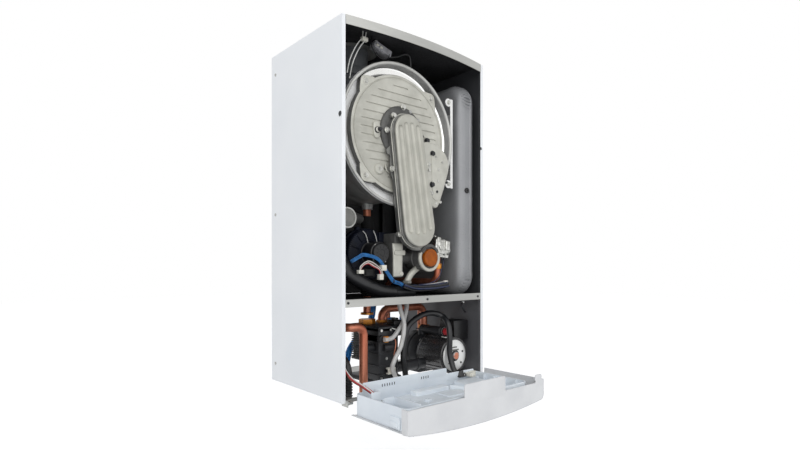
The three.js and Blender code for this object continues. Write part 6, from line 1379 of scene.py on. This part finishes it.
latch = [block((-187.6, -452, -16), (-183, -424, 4), 1.4, 3),
    block((-189.6, -448, -12), (-186, -428, -4), 1.2, 3),
    block((-189.4, -474.6, -14), (-183, -462, 12), 1.4, 3),
    block((-186, -470, 2), (-176, -466.4, 20), 1, 3)]
box = done([tub, back, second, rail] + inner + outer + screens + posts + latch, "moulded_tub", abs_inner,
    ["control_box"], body="control_tray", smooth=40)
told("control box", box)

# %% Board cover
lid = plate(rounded(-146, -458, 130, -330, 6, 6), "up", -16.6, 20.4, 2, segments=4)
lid = carve(lid, [turned([(0, -2), (4, -2), (4, 20), (0, 20)], (-70, -395, 0), "z", steps=32)])
housing = plate(rounded(60, -382, 124, -336, 4, 5), "up", 3, 10, 2.4, segments=4)
blocks = [plate(rounded(-64, -356, 26, -334, 3, 5), "up", 3, 8.6, 2, segments=4),
    plate(rounded(-134, -446, -96, -400, 3, 5), "up", 3, 6, 1.6),
    plate(rounded(-88, -442, -28, -412, 3, 5), "up", 3, 4.4, 1.4),
    turned([(4, 3.6), (7.4, 3.6), (8, 4.2), (8, 7.4), (7.4, 8), (4, 8), (4, 3.6)], (-70, -395, 0), "z",
    steps=40), plate(rounded(-20, -404, 44, -366, 3, 5), "up", 3, 3.2, 1.2)]
wedge = plate([(-446, 3), (-350, 3), (-350, 12.4), (-356, 12.8), (-440, 5.4)], "right", 52, 2.4, 0.6,
    both=True)
wedge = spin(wedge, -0.5, "Z", (52, -398, 0))
cover_ribs = [block((-128 + 9 * i, -392, 3.4), (-126 + 9 * i, -366, 5), 0.6) for i in range(5)]
cover_ribs += [block((64 + 9 * i, -450, 3.4), (66.4 + 9 * i, -392, 5.2), 0.6) for i in range(6)]
lid = done([lid, housing, wedge] + blocks + cover_ribs, "board_lid", abs_inner, ["board_cover"],
    body="control_tray", smooth=40)
screws("lid_screws", "pan", 3, [(-139, -337, 3.8), (123, -451, 3.8), (-139, -451, 3.8)], facing="z",
    body="control_tray")

# %% Circuit board
laid = plate(rounded(-130, -448, 110, -338, 2), "up", -12, 1.6, 0.2)
relays = [wear(block((-119 + 44 * i, -371, -10.5), (-97 + 44 * i, -349, -1.5), 1, 2), azure)
    for i in range(4)]
chips = [wear(block((-110 + 40 * i, -420, -10.5), (-90 + 40 * i, -404, -8.6), 0.3), black_abs)
    for i in range(5)]
cans = [wear(turned([(0, 0), (4, 0), (4, 7), (3.6, 7.4), (0, 7.4)], (-60 + 30 * i, -438, -10.5), "z",
    steps=24), strip_steel) for i in range(4)]
done([wear(laid, laminate)] + relays + chips + cans, "relay_board", None, ["circuit_board"],
    body="control_tray")
print("board drawn")

# %% Cable boot and plugs on the tray
boot = turned([(7, 0), (10.4, 0), (11, 0.8), (10, 5), (8, 12), (7, 14)], (104, -311.4, 13), "z", steps=32)
done([boot, block((93, -322, 13), (115, -302, 16), 1.4, 3)], "cable_boot", rubber, body="control_tray")
nests = [wear(block((118, -330, 12.4), (136, -314, 21), 1.4, 3), connector),
    wear(block((121, -334, 12.4), (133, -328, 19), 0.8), connector),
    wear(block((134, -322, 14), (146, -312, 22), 1, 3), connector)]
links = [cord([(122 + 4 * i, -318, 18), (124 + 4 * i, -314, 21), (118 + 5 * i, -312, 22.4),
    (112 + 4 * i, -315, 20), (112 + 4 * i, -320, 15)], 1.2, (white_wire, rubber, white_wire)[i])
    for i in range(3)]
done(nests + links, "tray_plugs", body="control_tray", smooth=50)
done(block((-168, -356, -17), (-148, -344, -9), 1), "loom_socket", connector, body="control_tray")
print("tray drawn")

# %% [markdown]
# Small things that a fitter would meet on the casing: press-in plugs, screws in the rail and panels,
# hinge pins, a hook and a stray wire at the right, and the ribs of the back panel.

# %% Casing hardware
screws("rail_screws", "pan", 2.6, [(-186, -295, 191.5), (20, -295, 190.5), (182, -295, 190.5)], dark_iron)
screws("top_screws", "pan", 3.4, [(x, y, 745) for x in (-186, 186) for y in (-200, -60)] + [(0, -20, 745)],
    facing="z")
for side, x, facing in (("left", -200, "-x"), ("right", 200, "x")):
    screws("side_screws_" + side, "pan", 3.2, [(x, -20, z) for z in (700, 380, 40)], facing=facing)
pins = [turned([(0, 0), (4, 0), (4, 8), (3, 9), (0, 9)], (side * 187, -298, 0), "x" if side < 0 else "-x",
    steps=24) for side in (-1, 1)]
done(pins, "hinge_pins", zinc)
studs = [turned([(0, 0), (4.6, 0), (5, 0.4), (4.4, 1), (2, 1.2), (0, 1.2)], (-200, -288.6, 555), "-x",
    steps=32), turned([(0, 0), (4, 0), (4.4, 0.8), (4, 2.4), (2, 3), (0, 3)], (193, -292.4, 544), "-y",
    steps=32)]
done(studs, "panel_studs", dark_iron)
hook = cord([(187.4, -250, 150), (180, -254, 152), (170, -258, 160), (168, -256, 170), (174, -254, 176)], 2,
    dark_iron, 8, 4)
tip = wear(turned([(0, 0), (3.4, 0), (3.8, 1), (3.2, 4), (0, 4.6)], (174, -254, 173), "z", steps=24),
    strip_steel)
done([hook, tip], "cable_hook", smooth=60)
stray = cord([(140, -262, 12), (160, -276, 9), (176, -286, 9), (186, -290, 7)], 1.6, steps=8, sides=4)
done(stray, "earth_wire", rubber, smooth=60)
ribs = [plate(rounded(-150 + 150 * i - 40, 240, -150 + 150 * i + 40, 640, 12), "front", 15.4, 2.4, 2,
    segments=3) for i in range(3)]
done(ribs, "panel_ribs", liner_and_shade)
# A dark sheet under the roof paints the shade there, cut round for the flue
front_edge = [(x, -309 + 17 * (x / 190) ** 2) for x in range(-190, 191, 20)]
roof = plate(front_edge + [(196, -291), (196, -3), (-196, -3), (-196, -291)], "up", 742.2, 0.9, 0.2)
roof = carve(roof, [turned([(0, 730), (60, 730), (60, 760), (0, 760)], (flue_x, flue_y, 0), "z", steps=64)])
done(roof, "roof_shade_sheet", liner_and_shade)
print("casing hardware drawn")

# %% Flue socket
socket = turned([(47.5, 45), (47.5, 3.4), (48.5, 3), (50, 3), (50, 36), (51.4, 37.4), (51.4, 42),
    (50.6, 45), (47.5, 45)], (flue_x, flue_y, flue_z), "z", steps=96)
flange = turned([(38.4, 0), (65.4, 0), (66, 0.6), (66, 2.4), (65, 3), (50, 3), (47.6, 3), (38.4, 3),
    (38.4, 0)], (flue_x, flue_y, flue_z), "z", steps=96)
lip = turned([(47.6, 34), (46.2, 35), (46.2, 38), (47.6, 39)], (flue_x, flue_y, flue_z), "z", steps=96)
ports = [turned([(0, 3), (7, 3), (7, 13), (6, 15), (0, 15)], (flue_x + side * 58, flue_y, flue_z), "z",
    steps=32) for side in (-1, 1)]
done([wear(one([socket, flange] + ports), white_flue), wear(lip, felt)], "flue_collar", None, ["flue_socket"])
flange_screws = [(flue_x + 60 * math.cos(a), flue_y + 60 * math.sin(a), 748.2)
    for a in (0.8, 2.35, 3.93, 5.5)]
screws("flue_screws", "pan", 3.4, flange_screws, facing="z")
print("flue socket drawn")

# %% [markdown]
# Studio. A pale floor under the boiler carries its soft shadow, the world is white to the camera and to
# mirrors, and two large lamps and the world's own light give a plain level at which a colour looks as
# it is written.

# %% Floor, world and lamps
def straight_rays(tree):
    """One for rays that reach the eye straight, by a mirror or through glass."""
    path = add(tree, "ShaderNodeLightPath").outputs
    mirrored = maths(tree, "MAXIMUM", path["Is Camera Ray"], path["Is Glossy Ray"])
    return maths(tree, "MAXIMUM", mirrored, path["Is Transmission Ray"])


alone()
bpy.ops.mesh.primitive_plane_add(size=14, location=(0, 0, cad_box[0][2] - 0.16))
floor = bpy.context.object
floor.name = "studio_floor"
paper = bpy.data.materials.new("white_paper")
paper.use_nodes = True
tree = paper.node_tree
seen = straight_rays(tree)
diffuse = add(tree, "ShaderNodeBsdfDiffuse", {"Color": (0.9, 0.9, 0.9, 1)})
glow = add(tree, "ShaderNodeEmission", {"Color": (1, 1, 1, 1), "Strength": 0.56})
both = add(tree, "ShaderNodeAddShader", None, {0: diffuse.outputs[0], 1: glow.outputs[0]})
mixed = add(tree, "ShaderNodeMixShader", None, {0: seen, 1: diffuse.outputs[0], 2: both.outputs[0]})
tree.links.new(mixed.outputs[0], tree.nodes["Material Output"].inputs["Surface"])
floor.data.materials.append(paper)

world = bpy.data.worlds.new("studio")
bpy.context.scene.world = world
world.use_nodes = True
tree = world.node_tree
seen = straight_rays(tree)
plain = add(tree, "ShaderNodeBackground", {"Color": (0.95, 0.97, 1, 1), "Strength": 0.5})
white = add(tree, "ShaderNodeBackground", {"Color": (1, 1, 1, 1), "Strength": 1})
shown = add(tree, "ShaderNodeMixShader", None, {0: seen, 1: plain.outputs[0], 2: white.outputs[0]})
tree.links.new(shown.outputs[0], tree.nodes["World Output"].inputs["Surface"])

lamps = [("key_lamp", (-2.6, -2.2, 1.5), 4, 62), ("front_lamp", (-0.5, -3.2, 0.6), 4.2, 40)]
for name, place, size, power in lamps:
    lamp = bpy.data.lights.new(name, "AREA")
    lamp.size, lamp.energy = size, power
    holder = bpy.data.objects.new(name, lamp)
    bpy.context.scene.collection.objects.link(holder)
    holder.location = place
    holder.rotation_euler = (Vector((0, -0.2, -0.3)) - Vector(place)).to_track_quat("-Z", "Y").to_euler()
for model in models.values():
    bpy.data.objects.remove(model, do_unlink=True)
print("studio ready")
